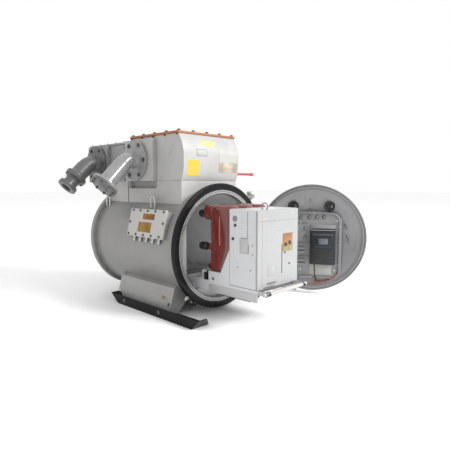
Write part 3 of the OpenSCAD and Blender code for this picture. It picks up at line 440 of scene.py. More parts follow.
def aimed(shape, place, way, up=upward):
    # turns a shape so that its Z points along way and its Y leans to up, then moves it
    way, up = np.array(way, float) / np.linalg.norm(way), np.array(up, float)
    if abs(way @ up) > 0.95 * np.linalg.norm(up):
        up = np.array([0.0, 1.0, 0.0])
    side = np.cross(up, way)
    side /= np.linalg.norm(side)
    points, faces = shape
    return points @ np.array([side, np.cross(way, side), way]) + np.array(place), faces


def repeated(shape, places, way, up=upward):
    # the same shape at many places, written as one array
    points, faces = aimed(shape, (0, 0, 0), way, up)
    places = np.array(places, float)
    starts = np.arange(len(places)) * len(points)
    return (points[None] + places[:, None]).reshape(-1, 3), (faces[None] + starts[:, None, None]).reshape(-1, 4)


def circlePlaces(centre, way, radius, count, start=0.0, up=upward):
    # count points on a circle square to way: the first lies start degrees from up
    angle = math.radians(start) + np.arange(count) * 2 * math.pi / count
    flat = np.column_stack([np.sin(angle) * radius, np.cos(angle) * radius, np.zeros(count)])
    return aimed((flat, None), centre, way, up)[0]


def along(start, end, steps):
    # evenly spaced points from start to end
    start, end = np.array(start, float), np.array(end, float)
    return start + np.linspace(0, 1, steps)[:, None] * (end - start)


def finishPiece(name, mesh, finish, body, sharp, replaced):
    mesh.shade_smooth()
    mesh.set_sharp_from_angle(angle=math.radians(sharp))
    mesh.materials.clear()
    mesh.materials.append(finishes[finish])
    piece = placed(name, mesh)
    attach(piece, body)
    if replaced:
        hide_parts(*replaced)
    return piece


def addPiece(name, finish, *shapes, body="cabinet", sharp=35, replaced=()):
    points, faces = joined(shapes)
    mesh = bpy.data.meshes.new(name)
    mesh.from_pydata(points.tolist(), [], faces.tolist())
    work = bmesh.new()
    work.from_mesh(mesh)
    bmesh.ops.remove_doubles(work, verts=work.verts, dist=0.00002)
    bmesh.ops.dissolve_degenerate(work, edges=work.edges, dist=0.00001)
    bmesh.ops.recalc_face_normals(work, faces=work.faces)
    work.to_mesh(mesh)
    work.free()
    return finishPiece(name, mesh, finish, body, sharp, replaced)


def softened(node, finish, width=0.003, steps=2, body="cabinet", name=""):
    # the CAD node's own shape with its sharp edges rounded; its name is the node's in one word
    mesh = nodes[node].data.copy()
    work = bmesh.new()
    work.from_mesh(mesh)
    bmesh.ops.remove_doubles(work, verts=work.verts, dist=0.00005)
    bmesh.ops.dissolve_limit(work, angle_limit=math.radians(0.6), verts=work.verts, edges=work.edges)
    work.to_mesh(mesh)
    work.free()
    first, *others = node.split("_")
    piece = finishPiece(name or first + "".join(word.title() for word in others), mesh, finish, body, 40, (node,))
    rounding = piece.modifiers.new("rounding", "BEVEL")
    rounding.width, rounding.segments = width, steps
    rounding.limit_method, rounding.angle_limit = "ANGLE", math.radians(40)
    rounding.harden_normals = rounding.use_clamp_overlap = True
    return piece


tank = {"axis": 0.499, "outer": 0.430, "inner": 0.420, "front": -0.260, "back": 0.806, "mouth": -0.310,
        "bore": 0.394, "flange": 0.447, "rearFlange": 0.462, "rearInner": 0.400, "rearThick": 0.025,
        "rearDeep": 0.047, "rearBolts": 24, "rearBoltsIn": 0.016, "rearBoltsStart": 7.5, "weldIn": 0.003}
mouthBolts = {"size": (0.0042, 0.003, 1.3), "reach": (0.4125, 0.4125, 0.4125, 0.4035, 0.4035),
              "degrees": (66.0, 69.5, 72.5, 64.0, 67.5)}  # degrees from the top, leftwards


def aboutTank(profile, sides=180, ease=0, loop=True):
    return aimed(turnedShape(profile, sides, ease, loop), (0, 0, tank["axis"]), toRear)


def onTank(radius, place, angle):
    # points about the tank's axis, at angles from the top towards +X
    across, up = radius * np.sin(angle), tank["axis"] + radius * np.cos(angle)
    return np.column_stack([across, np.full(len(angle), place), up])


front, back = tank["front"], tank["back"]
addPiece("tankShell", "tankGrey", aboutTank(band(tank["inner"], tank["outer"], front, back)),
         replaced=("tank_shell",))
addPiece("tankWelds", "tankGrey", *[weldBead(onTank(tank["outer"] + 0.001, place, fullTurn(700)), 0.0045, 0.14, True)
                                    for place in (front + tank["weldIn"], back - tank["weldIn"])], sharp=80)
mouth, bore, lip = tank["mouth"], tank["bore"], tank["flange"]
flangeLine = [(bore + 0.004, mouth), (lip, mouth), (lip, mouth + 0.012), (lip - 0.005, mouth + 0.012),
              (lip - 0.005, mouth + 0.022), (lip, mouth + 0.022), (lip, mouth + 0.05), (bore, mouth + 0.05),
              (bore, mouth + 0.004)]
addPiece("mouthFlange", "machinedSteel", aboutTank(flangeLine, ease=0.0012), replaced=("mouth_flange",))
boltPlaces = [onTank(reach, mouth, [-math.radians(degrees)])[0]
              for reach, degrees in zip(mouthBolts["reach"], mouthBolts["degrees"])]
addPiece("mouthBolts", "contactDark", repeated(boltShape(*mouthBolts["size"]), boltPlaces, toFront))
sealLine = [(bore + 0.0145, mouth - 0.0005), (bore + 0.0165, mouth - 0.0009), (bore + 0.0185, mouth - 0.0005),
            (bore + 0.0165, mouth + 0.001)]
addPiece("mouthSeal", "sealRubber", aboutTank(sealLine))

ring = {"outer": 0.473, "lip": 0.422, "clampTurn": 39, "clampPitch": 0.062, "lug": (0.040, 0.024, 0.032),
        "lugEdge": (0.005, 0.002), "lugDeep": 0.014, "lugSunk": 0.006, "bolt": 0.006, "boltOut": 0.019,
        "heads": ((0.011, 0.008, 1.5), (0.011, 0.007, 1.5))}
inside, outer = lip + 0.0003, ring["outer"]
ringLine = [(inside, mouth - 0.0004), (ring["lip"], mouth - 0.0004), (ring["lip"], mouth - 0.0016),
            (outer - 0.008, mouth - 0.0022), (outer, mouth + 0.005), (outer, mouth + 0.026),
            (outer - 0.004, mouth + 0.030), (inside, mouth + 0.030), (inside, mouth + 0.0217),
            (inside - 0.005, mouth + 0.0217), (inside - 0.005, mouth + 0.0123), (inside, mouth + 0.0123)]
turn = math.radians(ring["clampTurn"])
outwards = np.array([-math.sin(turn), 0, -math.cos(turn)])
sideways = np.array([-math.cos(turn), 0, math.sin(turn)])
clampFoot = np.array([0, mouth + ring["lugDeep"], tank["axis"]]) + outwards * (outer - ring["lugSunk"])
lugs = [aimed(plateShape(*ring["lug"], *ring["lugEdge"]), clampFoot + sideways * side * ring["clampPitch"] / 2,
              outwards, toRear) for side in bothSides]
addPiece("lockingRing", "ringBlack", aboutTank(ringLine, 200, 0.0014), *lugs, replaced=("locking_ring",))
half = (ring["clampPitch"] + ring["lug"][0]) / 2
ends = [clampFoot + outwards * ring["boltOut"] + sideways * side * half for side in bothSides]
addPiece("clampBolt", "platedSteel", tubeShape(along(*ends, 12), ring["bolt"], 12, toRear),
         *[aimed(boltShape(*head), end, sideways * side, toRear) for head, end, side in
           zip(ring["heads"], ends, bothSides)])

rim, joint, rear = tank["rearFlange"], back + tank["rearThick"], back + tank["rearDeep"]
addPiece("rearFlange", "tankGrey", aboutTank(band(tank["rearInner"], rim, back, joint), 160, 0.002),
         replaced=("rear_flange",))
coverLine = [(rim * 0.5, joint), (rim, joint + 0.0005), (rim, rear), (rim * 0.5, rear)]
addPiece("rearCover", "tankGrey", aboutTank(capped(coverLine, 0.003), 160, loop=False), replaced=("rear_cover",))
rearBolts = circlePlaces((0, rear, tank["axis"]), toRear, rim - tank["rearBoltsIn"], tank["rearBolts"],
                         tank["rearBoltsStart"])
addPiece("rearCoverBolts", "platedSteel", repeated(boltShape(0.0125, 0.0098, 1.3), rearBolts, toRear))
addPiece("rearFlangeNuts", "tankGrey",
         repeated(boltShape(0.0115, 0.010), rearBolts - [0, tank["rearDeep"], 0], toFront))
print("tank, mouth and ring done")

box = {"halfWidth": 0.290, "front": -0.212, "high": 1.335, "coverThick": 0.016,
       "bow": ((0.991, 0.028), (1.0254, 0.014), (1.0942, 0.002), (1.197, 0.0), (1.2246, 0.0057), (1.2798, 0.02394),
               (1.335, 0.057)),  # height, and how far the bowed face lies behind its foremost line
       "plug": (-0.058, 1.206)}
boxBolts = {"reach": (0.2755, -0.143, 0.438), "size": (0.0125, 0.0105), "nut": (0.0075, 0.010, 1.3),
            "nutAcross": 0.2945, "nutDrop": 0.018, "rearHalf": 0.275, "rearIn": 0.022, "rearSize": (0.0105, 0.009)}
boxPlates = {  # reach across, reach up, thickness, finish, rows
    "namePlate": ((-0.100, 0.040), (1.250, 1.290), 0.0015, "stripYellow", 10),
    "framePlate": ((-0.164, -0.060), (1.172, 1.222), 0.0012, "weldGrey", 10),
    "framePlateFace": ((-0.159, -0.065), (1.177, 1.217), 0.0018, "boxPale", 10),
    "yellowPlate": ((-0.250, -0.135), (1.030, 1.140), 0.0014, "plateYellow", 10),
    "palePlate": ((0.067, 0.272), (1.132, 1.230), 0.0014, "labelPale", 16),
    "palePlateFoot": ((0.067, 0.272), (1.055, 1.131), 0.0014, "plateRust", 10)}


def onBow(across, up):
    # a point of the front box's bowed face, and the direction square to the bow's curve
    heights, setBack = np.array(box["bow"]).T
    depth = np.interp(up, heights, setBack)
    slope = (np.interp(up + 0.004, heights, setBack) - np.interp(up - 0.004, heights, setBack)) / 0.008
    outward = np.stack([np.zeros_like(up), -np.ones_like(up), slope], -1)
    return np.stack([across, box["front"] + depth, up], -1), outward / np.linalg.norm(outward, axis=-1, keepdims=True)


def curvedPlate(across, up, thick, rows):
    # a thin plate on the bowed face: its grid ends in a line at no height, so that its sides are closed
    a, b = np.meshgrid(*[np.concatenate([ends[:1], np.linspace(*ends, steps), ends[1:]])
                         for ends, steps in ((across, 10), (up, rows))])
    raised = np.zeros(a.shape)
    raised[1:-1, 1:-1] = thick
    points, outward = onBow(a, b)
    faces = gridFaces(*a.shape)
    return joined([((points + outward * raised[..., None]).reshape(-1, 3), faces),
                   (points.reshape(-1, 3), faces[:, ::-1])])


def aroundCover(halfWidth, near, far, high, count=5):
    # the outer places of an even grid, as bolts stand round a cover
    x, y = np.meshgrid(np.linspace(-halfWidth, halfWidth, count), np.linspace(near, far, count), indexing="ij")
    outermost = np.ones((count, count), bool)
    outermost[1:-1, 1:-1] = False
    return np.column_stack([x[outermost], y[outermost], np.full(outermost.sum(), high)])


softened("front_box", "boxPale", 0.004)
softened("front_throat", "boxPale")
softened("rear_throat", "boxPale")
softened("rear_box", "boxGrey", 0.004)
softened("front_elbow_pad", "boxPale", 0.004, name="frontPad")
softened("rear_elbow_pad", "boxGrey", 0.004, name="rearPad")
softened("rear_box_cover", "boxGrey", 0.002)
low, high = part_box("front_box_cover")
coverPlate = plateShape(high[0] * 2, high[1] - low[1], box["coverThick"], 0.006, 0.002)
addPiece("frontBoxCover", "coverOrange", aimed(coverPlate, (0, (low[1] + high[1]) / 2, box["high"]), upward),
         replaced=("front_box_cover",))
coverBolts = aroundCover(*boxBolts["reach"], box["high"] + box["coverThick"])
addPiece("coverBolts", "rustyBolt", repeated(boltShape(*boxBolts["size"]), coverBolts, upward))
atSides = np.isclose(np.abs(coverBolts[:, 0]), boxBolts["reach"][0])
underNuts = coverBolts[atSides] - [0, 0, boxBolts["nutDrop"]]
underNuts[:, 0] = np.sign(underNuts[:, 0]) * boxBolts["nutAcross"]
addPiece("coverNuts", "rustyBolt", repeated(boltShape(*boxBolts["nut"]), underNuts, (0, 0, -1)))
low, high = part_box("rear_box_cover")
rearIn = boxBolts["rearIn"]
rearSpots = aroundCover(boxBolts["rearHalf"], low[1] + rearIn, high[1] - rearIn, high[2])
addPiece("rearCoverTopBolts", "platedSteel", repeated(boltShape(*boxBolts["rearSize"]), rearSpots, upward))
for name, (across, up, thick, finish, rows) in boxPlates.items():
    addPiece(name, finish, curvedPlate(across, up, thick, rows))
plugLine = knob((0.013, 0), (0.012, 0.004), (0.006, 0.006))
addPiece("sidePlug", "labelPale", aimed(turnedShape(plugLine, 20), (-box["halfWidth"], *box["plug"]), toLeft))
print("boxes done")

elbow = {"bend": 45, "bendRadius": 0.110, "bendSteps": 20, "flange": 0.158, "flangeThick": 0.024, "bolts": 6,
         "boltIn": 0.026, "boltStart": 30, "bolt": (0.0125, 0.0098, 1.5), "throat": 0.020, "overlap": 0.012}
endCover = {"radius": 0.105, "boltCircle": 0.088, "bolt": (0.0088, 0.0076), "thick": 0.018, "gap": 0.022}
gland = {"boltCircle": 0.079, "bolt": (0.0075, 0.008, 1.3), "thick": 0.016}


def elbowPieces(name, finish, centre, barrel, straight, endRadius, node):
    # flange and neck turned about the pad's direction, a share of a torus, and a straight barrel
    x, y, z = centre
    flange, thick, bendRadius, steps = elbow["flange"], elbow["flangeThick"], elbow["bendRadius"], elbow["bendSteps"]
    foot = [(flange, 0), (flange, thick), (barrel + 0.020, thick), (barrel + 0.007, thick + 0.006),
            (barrel + 0.003, thick + 0.020), (barrel, thick + 0.026), (barrel - 0.01, thick + 0.026)]
    turned = np.radians(np.linspace(0, elbow["bend"], steps))
    arc = np.column_stack([x - thick - elbow["throat"] - bendRadius * np.sin(turned), np.full(steps, y),
                           z - bendRadius * (1 - np.cos(turned))])
    way = np.array([-math.cos(turned[-1]), 0, -math.sin(turned[-1])])
    pipe = [(barrel, -0.004), (barrel + 0.003, 0.008), (barrel + 0.003, straight - 0.044),
            (barrel + 0.012, straight - 0.024), (endRadius, straight - 0.022), (endRadius, straight),
            (endRadius * 0.5, straight)]
    addPiece(name, finish, aimed(turnedShape(capped(foot, 0.0025), 72), centre, toLeft),
             tubeShape(np.concatenate([arc, [arc[-1] + way * elbow["overlap"]]]), barrel, 56, toRear),
             aimed(turnedShape(capped(pipe, 0.003), 72), arc[-1], way, toRear), replaced=(node,))
    footBolts = circlePlaces((x - thick, y, z), toLeft, flange - elbow["boltIn"], elbow["bolts"], elbow["boltStart"])
    addPiece(name + "Bolts", "dirtySteel", repeated(boltShape(*elbow["bolt"]), footBolts, toLeft))
    return arc[-1] + way * straight, way


def endBolts(end, way, out, circle, count, start, size):
    places = circlePlaces(end + way * out, way, circle, count, start, toRear)
    return repeated(boltShape(*size), places, way, toRear)


end, way = elbowPieces("frontElbow", "elbowGrey", (-0.326, 0.330, 1.153), 0.063, 0.235, 0.108, "front_elbow")
coverLine = [(endCover["radius"], 0), (endCover["radius"], endCover["thick"]), (0.040, endCover["thick"]),
             (0.034, 0.024), (0.02, 0.024)]
# the end cover's near-black grey is painted shade
addPiece("frontEndCover", "coverGrey", aimed(turnedShape(capped(coverLine, 0.002), 64), end, way, toRear),
         replaced=("front_end_cover",))
circle, size = endCover["boltCircle"], endCover["bolt"]
addPiece("frontEndBolts", "dirtySteel", endBolts(end, way, endCover["thick"], circle, 8, 0, size))
addPiece("frontEndNuts", "dirtySteel", endBolts(end, -way, endCover["gap"], circle, 8, 0, size))
end, way = elbowPieces("rearElbow", "farElbow", (-0.326, 0.940, 1.147), 0.068, 0.130, 0.094, "rear_elbow")
glandLine = [(0.042, 0.012), (0.042, 0.120), (0.082, 0.120), (0.082, 0.086), (0.060, 0.084), (0.060, 0.018),
             (0.091, 0.016), (0.091, 0)]
addPiece("rearGland", "farElbow", aimed(turnedShape(capped(glandLine, 0.002), 64), end, way, toRear),
         replaced=("rear_gland",))
addPiece("rearGlandBolts", "dirtySteel",
         endBolts(end, way, gland["thick"], gland["boltCircle"], 6, 30, gland["bolt"]))
print("elbows done")

terminal = {"tilt": 13.5, "face": (-0.4327, 0.6759), "glands": (-0.1036, -0.0266, 0.0504, 0.1275, 0.2045),
            "upperBolts": (0.248, 0.158, 0.063, -0.032, -0.130), "lowerBolts": (0.262, 0.166, 0.070, -0.026, -0.122),
            "endBolts": ((0.268, 0.676), (-0.144, 0.684)), "boltSize": (0.0068, 0.006, 1.5),
            "upperPlate": ((-0.032, 0.110), (0.703, 0.744)), "lowerPlate": ((-0.009, 0.152), (0.609, 0.682)),
            "plateThick": 0.0016, "upperRow": 0.766, "lowerRow": 0.588, "glandDrop": 0.026, "glandOut": 0.007}
lean = math.radians(terminal["tilt"])
faceWay, faceUp = np.array([-math.cos(lean), 0, math.sin(lean)]), np.array([math.sin(lean), 0, math.cos(lean)])


def coverSpot(y, z):
    # the point of the leaning cover's face at the height z
    x, middle = terminal["face"]
    return np.array([x, y, middle]) + faceUp * (z - middle) / math.cos(lean)


def onCover(across, up):
    size = (across[1] - across[0], (up[1] - up[0]) / math.cos(lean), terminal["plateThick"])
    return aimed(plateShape(*size, 0.003, 0.0005), coverSpot(sum(across) / 2, sum(up) / 2), faceWay, faceUp)


softened("terminal_box", "boxPale", 0.004)
softened("terminal_box_cover", "coverWhite", 0.004, 3)
addPiece("upperCopperPlate", "plateCopper", onCover(*terminal["upperPlate"]))
addPiece("lowerCopperPlate", "plateBrass", onCover(*terminal["lowerPlate"]))
boltSpots = [(y, terminal[row + "Row"]) for row in ("upper", "lower") for y in terminal[row + "Bolts"]]
boltSpots = [coverSpot(*spot) for spot in boltSpots + list(terminal["endBolts"])]
addPiece("terminalCoverBolts", "dirtySteel", repeated(boltShape(*terminal["boltSize"]), boltSpots, faceWay, faceUp))
glandProfile = knob((0.0165, 0.0), (0.0165, 0.012), (0.012, 0.014), (0.012, 0.026), (0.0145, 0.028),
                    (0.0145, 0.038), (0.009, 0.044))
glandTop = onTank(tank["outer"], 0, [lean - math.pi / 2])[0]
glandTop = glandTop - faceUp * terminal["glandDrop"] + faceWay * terminal["glandOut"]
addPiece("terminalGlands", "platedSteel",
         repeated(turnedShape(glandProfile, 12), [glandTop + [0, y, 0] for y in terminal["glands"]], -faceUp, toRear),
         replaced=("terminal_glands",))
print("terminal box done")

eye = {"rod": 0.0065, "halfWidth": 0.024, "high": 0.096, "rise": 0.280, "places": (0.115, 0.770), "sunk": 0.016,
       "weldWay": (0.76, 0, 0.65), "weldSpot": (-0.002, -0.0026)}  # outwards and up from the rod's foot
footX = math.sqrt(tank["outer"] ** 2 - eye["rise"] ** 2)
wide, post = eye["halfWidth"], eye["high"] - eye["halfWidth"] - eye["rod"]
curve = np.linspace(0, math.pi, 19)
loop = np.concatenate([along((0, wide, -eye["sunk"]), (0, wide, post - 0.004), 5),
                       np.column_stack([np.zeros(19), wide * np.cos(curve), post + wide * np.sin(curve)]),
                       along((0, -wide, post - 0.004), (0, -wide, -eye["sunk"]), 5)])
eyeTube, eyeFaces = tubeShape(loop, eye["rod"], 14, toRight)
eyeFeet = [np.array([side * footX, y, tank["axis"] + eye["rise"]]) for side in bothSides for y in eye["places"]]
addPiece("liftingEyes", "platedPale", *[(eyeTube + foot, eyeFaces) for foot in eyeFeet], sharp=60,
         replaced=("lifting_eyes",))
eyeWeld = turnedShape(knob((0.0125, 0), (0.0115, 0.004), (0.0075, 0.009)), 14)
eyeWelds = []
for foot in eyeFeet:
    side = np.sign(foot[0])
    for s in bothSides:
        spot = foot + [side * eye["weldSpot"][0], s * wide, eye["weldSpot"][1]]
        eyeWelds.append(aimed(eyeWeld, spot, eye["weldWay"] * np.array([side, 1, 1])))
addPiece("eyeWelds", "tankGrey", *eyeWelds, sharp=60)

for side in ("left", "right"):
    softened(side + "_leg", "legGrey", 0.002)
    softened(side + "_skid", "skidBlack", 0.0015)
leg = {"front": -0.160, "top": (-0.345, 0.207), "foot": (-0.400, 0.009), "seamEnd": 0.530, "lowSeamEnd": 0.425,
       "saddle": (-152.7, -127.5), "plate": (-0.053, 0.121), "plateSize": (0.044, 0.026, 0.0016),
       "pinAside": 0.0185}
skid = {"boltSize": (0.011, 0.008), "bolts": ((-0.462, -0.120, 0.040), (-0.462, 0.330, 0.040)),
        "anchors": (0.350, 0.25), "sole": 0.009}
(topX, topZ), (lowX, lowZ), near = leg["top"], leg["foot"], leg["front"]
seams = [along((topX, near + 0.006, topZ), (topX, leg["seamEnd"], topZ), 230),
         along((lowX, near, lowZ + 0.002), (lowX, leg["lowSeamEnd"], lowZ + 0.002), 190),
         along((topX + 0.012, near + 0.001, 0.200), (lowX + 0.006, near + 0.001, lowZ + 0.004), 70)]
saddleSeam = onTank(tank["outer"], near + 0.001, np.radians(np.linspace(*leg["saddle"], 60)))
addPiece("legWelds", "weldGrey", *[weldBead(line * [side, 1, 1]) for side in (1, -1) for line in seams],
         *[weldBead(saddleSeam * [side, 1, 1], 0.0042) for side in (1, -1)], sharp=80)
legRise = np.array([topX - lowX, 0, topZ - lowZ])
legUp = legRise / np.linalg.norm(legRise)
legWay = np.array([-legUp[2], 0, legUp[0]])


def legSpot(y, z, out=0.0):
    # a point of the leg's leaning side
    return np.array([lowX, y, lowZ]) + legRise * (z - lowZ) / legRise[2] + legWay * out


plateY, plateZ = leg["plate"]
addPiece("legPlate", "plateOlive",
         aimed(plateShape(*leg["plateSize"], 0.002, 0.0004), legSpot(plateY, plateZ), legWay, legUp))
pin = turnedShape([(0, 0), (0.0022, 0), (0.0018, 0.0012), (0, 0.0016)], 10)
pinSpots = [legSpot(plateY + side * leg["pinAside"], plateZ, leg["plateSize"][2]) for side in bothSides]
addPiece("legPlatePins", "platedSteel", repeated(pin, pinSpots, legWay, legUp))
addPiece("skidBolts", "crossGrey", repeated(boltShape(*skid["boltSize"]), skid["bolts"], toLeft))
anchors = [(x * skid["anchors"][0], y * skid["anchors"][1], skid["sole"]) for x in bothSides for y in bothSides]
anchorLine = [(0.0092, 0), (0.0150, 0), (0.0140, 0.0012), (0.0092, 0.0012)]
addPiece("anchorRims", "skidBlack", repeated(turnedShape(anchorLine, 24, loop=True), anchors, upward))
print("base done")

hinge = {"place": (0.505, -0.160), "low": 0.237, "high": 0.880, "pin": 0.014, "collars": (0.2695, 0.8725),
         "cap": 0.8745, "bolts": ((0.365, -0.160, 0.872), (0.365, -0.160, 0.269))}
lever = {"start": 0.290, "place": (-0.180, 1.0483)}
softened("hinge_brackets", "tankGrey")
softened("door_arms", "doorGrey", body="door")
pinShape = turnedShape(band(0, hinge["pin"], 0, hinge["high"] - hinge["low"]), 32, 0.003)
addPiece("hingePin", "platedPale", aimed(pinShape, (*hinge["place"], hinge["low"]), upward), replaced=("hinge_pin",))
collarLine = [(hinge["pin"], 0), (0.027, 0), (0.029, 0.003), (0.029, 0.010), (0.022, 0.016), (hinge["pin"], 0.016)]
addPiece("hingeCollars", "platedPale", repeated(turnedShape(collarLine, 32, 0.0015, True),
                                                [(*hinge["place"], z) for z in hinge["collars"]], upward))
capLine = knob((0.033, 0), (0.037, 0.004), (0.037, 0.020), (0.031, 0.030), (0.012, 0.033))
addPiece("hingeCap", "platedPale", aimed(turnedShape(capLine, 36, 0.002), (*hinge["place"], hinge["cap"]), upward))
addPiece("hingeBolt", "dirtySteel", repeated(boltShape(0.012, 0.012), hinge["bolts"], upward))
leverLine = [(0, 0), (0.020, 0), (0.020, 0.005), (0.014, 0.008), (0.014, 0.022), (0.0105, 0.027), (0.0105, 0.150),
             (0.0115, 0.166), (0.0130, 0.176), (0.0132, 0.196), (0.0128, 0.212), (0.010, 0.218), (0, 0.219)]
addPiece("earthingLever", "leverRed",
         aimed(turnedShape(leverLine, 28, 0.0025), (lever["start"], *lever["place"]), toRight),
         replaced=("earthing_lever",))
print("hinge and lever done")

door = {"opened": 119.0, "front": -0.345, "panel": -0.337}
dish = {"edge": 0.426, "depth": 0.072, "thick": 0.010}
sphere = (dish["edge"] ** 2 + dish["depth"] ** 2) / (2 * dish["depth"])


def dishDepth(radius):
    # how far behind the rim's front face the dish's outer skin lies
    return sphere - dish["depth"] - np.sqrt(sphere ** 2 - np.asarray(radius) ** 2)


def insideDish(x, z, deep=0.0):
    # a point over the dish's inner skin
    skin = float(dishDepth(math.hypot(x, z - tank["axis"]))) + dish["thick"]
    return x, door["front"] + skin + deep, z


def doorPiece(name, finish, *shapes, **more):
    # what is drawn on the closed door turns with it about the hinge pin
    points, faces = joined(shapes)
    angle = math.radians(door["opened"])
    turn = np.array([[math.cos(angle), -math.sin(angle)], [math.sin(angle), math.cos(angle)]])
    points[:, :2] = (points[:, :2] - hinge["place"]) @ turn.T + hinge["place"]
    return addPiece(name, finish, (points, faces), body="door", **more)


def aboutDoor(profile, sides=200, ease=0, loop=True):
    return aimed(turnedShape(profile, sides, ease, loop), (0, door["front"], tank["axis"]), toRear)


def facing(width, height, thick, x, z, y=door["panel"], corner=0.002, edge=0.0006):
    # a rounded plate that stands on the panel and looks out of the open door
    return aimed(plateShape(width, height, thick, corner, edge), (x, y, z), toRear)


def onPanel(shape, spots, y=door["panel"]):
    return repeated(shape, [(x, y, z) for x, z in spots], toRear)


def lead(points, steps, depth, radius, sides=10):
    # a tube on the points joined by straight runs, then eased by averaging each point with its neighbours
    points = np.array(points, float)
    travel = np.concatenate([[0], np.cumsum(np.linalg.norm(np.diff(points, axis=0), axis=1))])
    spaced = np.linspace(0, travel[-1], steps)
    line = np.column_stack([np.interp(spaced, travel, points[:, k]) for k in range(2)])
    for _ in range(6):
        line[1:-1] = (line[:-2] + 2 * line[1:-1] + line[2:]) / 4
    return tubeShape(np.column_stack([line[:, 0], np.full(steps, depth), line[:, 1]]), radius, sides, toRear)


radii = np.linspace(0, dish["edge"], 40)
skins = [np.column_stack([radii, dishDepth(radii) + thick]) for thick in (0, dish["thick"])]
doorPiece("doorDish", "doorGrey", aboutDoor(np.concatenate([skins[0], skins[1][::-1]]), 160, loop=False),
          replaced=("door_dish",))
rimLine = [(0.426, 0), (0.462, 0), (0.466, 0.004), (0.466, 0.030), (0.4535, 0.030), (0.4525, 0.0265),
           (0.4475, 0.0265), (0.4465, 0.030), (0.4400, 0.030), (0.4400, 0.022), (0.426, 0.022)]
# the rim's darker grey is painted shade
doorPiece("doorRim", "rimGrey", aboutDoor(rimLine, ease=0.0009), replaced=("door_rim",))
sealLine = [(0.4478, 0.0262), (0.4522, 0.0262), (0.4516, 0.0284), (0.4484, 0.0284)]
doorPiece("doorSeal", "sealRubber", aboutDoor(sealLine))
doorPiece("doorEdgeLine", "machinedSteel", aboutDoor(band(0.4402, 0.4462, 0.0296, 0.0303)))

port = {"high": 0.773, "across": (0.158, -0.153), "place": -0.405, "slat": -0.357, "slatAside": 0.020}
portLine = knob((0.046, 0), (0.046, 0.062), (0.044, 0.064), (0.039, 0.064), (0.036, 0.061), (0.036, 0.047),
                (0.020, 0.046), (0.018, 0.052))
doorPiece("doorPorts", "portBlack", onPanel(turnedShape(portLine, 44, 0.0012),
                                            [(x, port["high"]) for x in port["across"]], port["place"]),
          replaced=("door_ports",))
slatPlaces = [(x - port["slatAside"], port["high"]) for x in port["across"]]
doorPiece("portSlats", "weldGrey", onPanel(plateShape(0.010, 0.030, 0.004, 0.002, 0.0008), slatPlaces, port["slat"]))

softened("instrument_panel", "panelGrey", 0.0015, body="door")
relay = {"middle": (-0.102, 0.4205), "top": 0.569, "face": -0.2766, "keys": (-0.045, -0.165, 7), "keyHigh": 0.426}
middleX, middleZ = relay["middle"]
glass = relay["face"]
doorPiece("relayCase", "relayCase", facing(0.214, 0.297, 0.058, middleX, middleZ, corner=0.004, edge=0.003),
          facing(0.196, 0.279, 0.0605, middleX, middleZ - 0.001, corner=0.006, edge=0.0015), replaced=("relay",))
doorPiece("relayTop", "stripSilver",
          aimed(plateShape(0.204, 0.046, 0.0010, 0.002, 0.0003), (middleX, -0.307, relay["top"]), upward))
doorPiece("relayLower", "portBlack", facing(0.190, 0.128, 0.0006, middleX, 0.344, glass))
doorPiece("relayBand", "relayTrim", facing(0.176, 0.013, 0.0008, middleX, 0.533, glass))
doorPiece("relayScreen", "relayScreen", facing(0.078, 0.050, 0.0012, -0.108, 0.474, glass))
doorPiece("relayKeys", "relayKey", onPanel(plateShape(0.010, 0.010, 0.0022, 0.003, 0.0008),
                                           [(x, relay["keyHigh"]) for x in np.linspace(*relay["keys"])], glass))
doorPiece("relayLines", "relayTrim", facing(0.046, 0.003, 0.0012, -0.168, 0.335, glass, 0.001, 0.0002),
          facing(0.040, 0.003, 0.0012, -0.160, 0.300, glass, 0.001, 0.0002))
doorPiece("panelStrip", "panelGrey", facing(0.212, 0.036, 0.014, -0.103, 0.598, corner=0.003, edge=0.002))
# a dark sheet in the gap under the strip: painted shade
doorPiece("panelStripGap", "sealRubber", facing(0.206, 0.008, 0.004, -0.103, 0.575))

panel = {  # x and z of what stands on the panel
    "buttons": [(0.089, 0.674), (0.015, 0.676), (-0.049, 0.678), (-0.109, 0.680)],
    "knobs": [(0.048, 0.579), (0.047, 0.499)],
    "uprightClips": [(-0.241, 0.600), (-0.241, 0.440), (-0.240, 0.270)],
    "terminals": [(0.080, 0.404), (0.080, 0.372), (0.080, 0.300), (0.080, 0.262)],
    "screws": [(-0.221, 0.651), (0.089, 0.631), (-0.205, 0.215), (0.089, 0.215)],
    "bosses": [(0.006, 0.830), (0.006, 0.752)], "hooks": [(-0.285, 0.616), (-0.300, 0.520)]}
leads = {"trunk": ((0.108, 0.716), (0.020, 0.716), (-0.090, 0.715), (-0.180, 0.711), (-0.212, 0.702),
                   (-0.232, 0.682), (-0.240, 0.650), (-0.241, 0.560), (-0.241, 0.420), (-0.240, 0.300),
                   (-0.240, 0.195)),
         "black": ((-0.033, 0.274), (-0.034, 0.230), (-0.040, 0.170), (-0.046, 0.130), (-0.058, 0.112)),
         "red": ((-0.030, 0.118), (-0.090, 0.114), (-0.150, 0.128), (-0.200, 0.160), (-0.232, 0.200)),
         "redEnd": ((0.126, 0.110), (0.070, 0.090), (0.000, 0.082), (-0.060, 0.092), (-0.110, 0.108))}
collarLine = knob((0.0150, 0), (0.0150, 0.008), (0.0135, 0.010), (0.0105, 0.010), (0.0100, 0.007))
doorPiece("buttonCollars", "portBlack",
          onPanel(turnedShape(collarLine, 28, 0.0008), panel["buttons"] + panel["knobs"]), replaced=("push_buttons",))
buttonLine = [(0, 0.006), (0.0095, 0.006), (0.0092, 0.015), (0.0070, 0.018), (0, 0.0190)]
doorPiece("buttonCaps", "fittingGrey", onPanel(turnedShape(buttonLine, 24), panel["buttons"]), sharp=50)
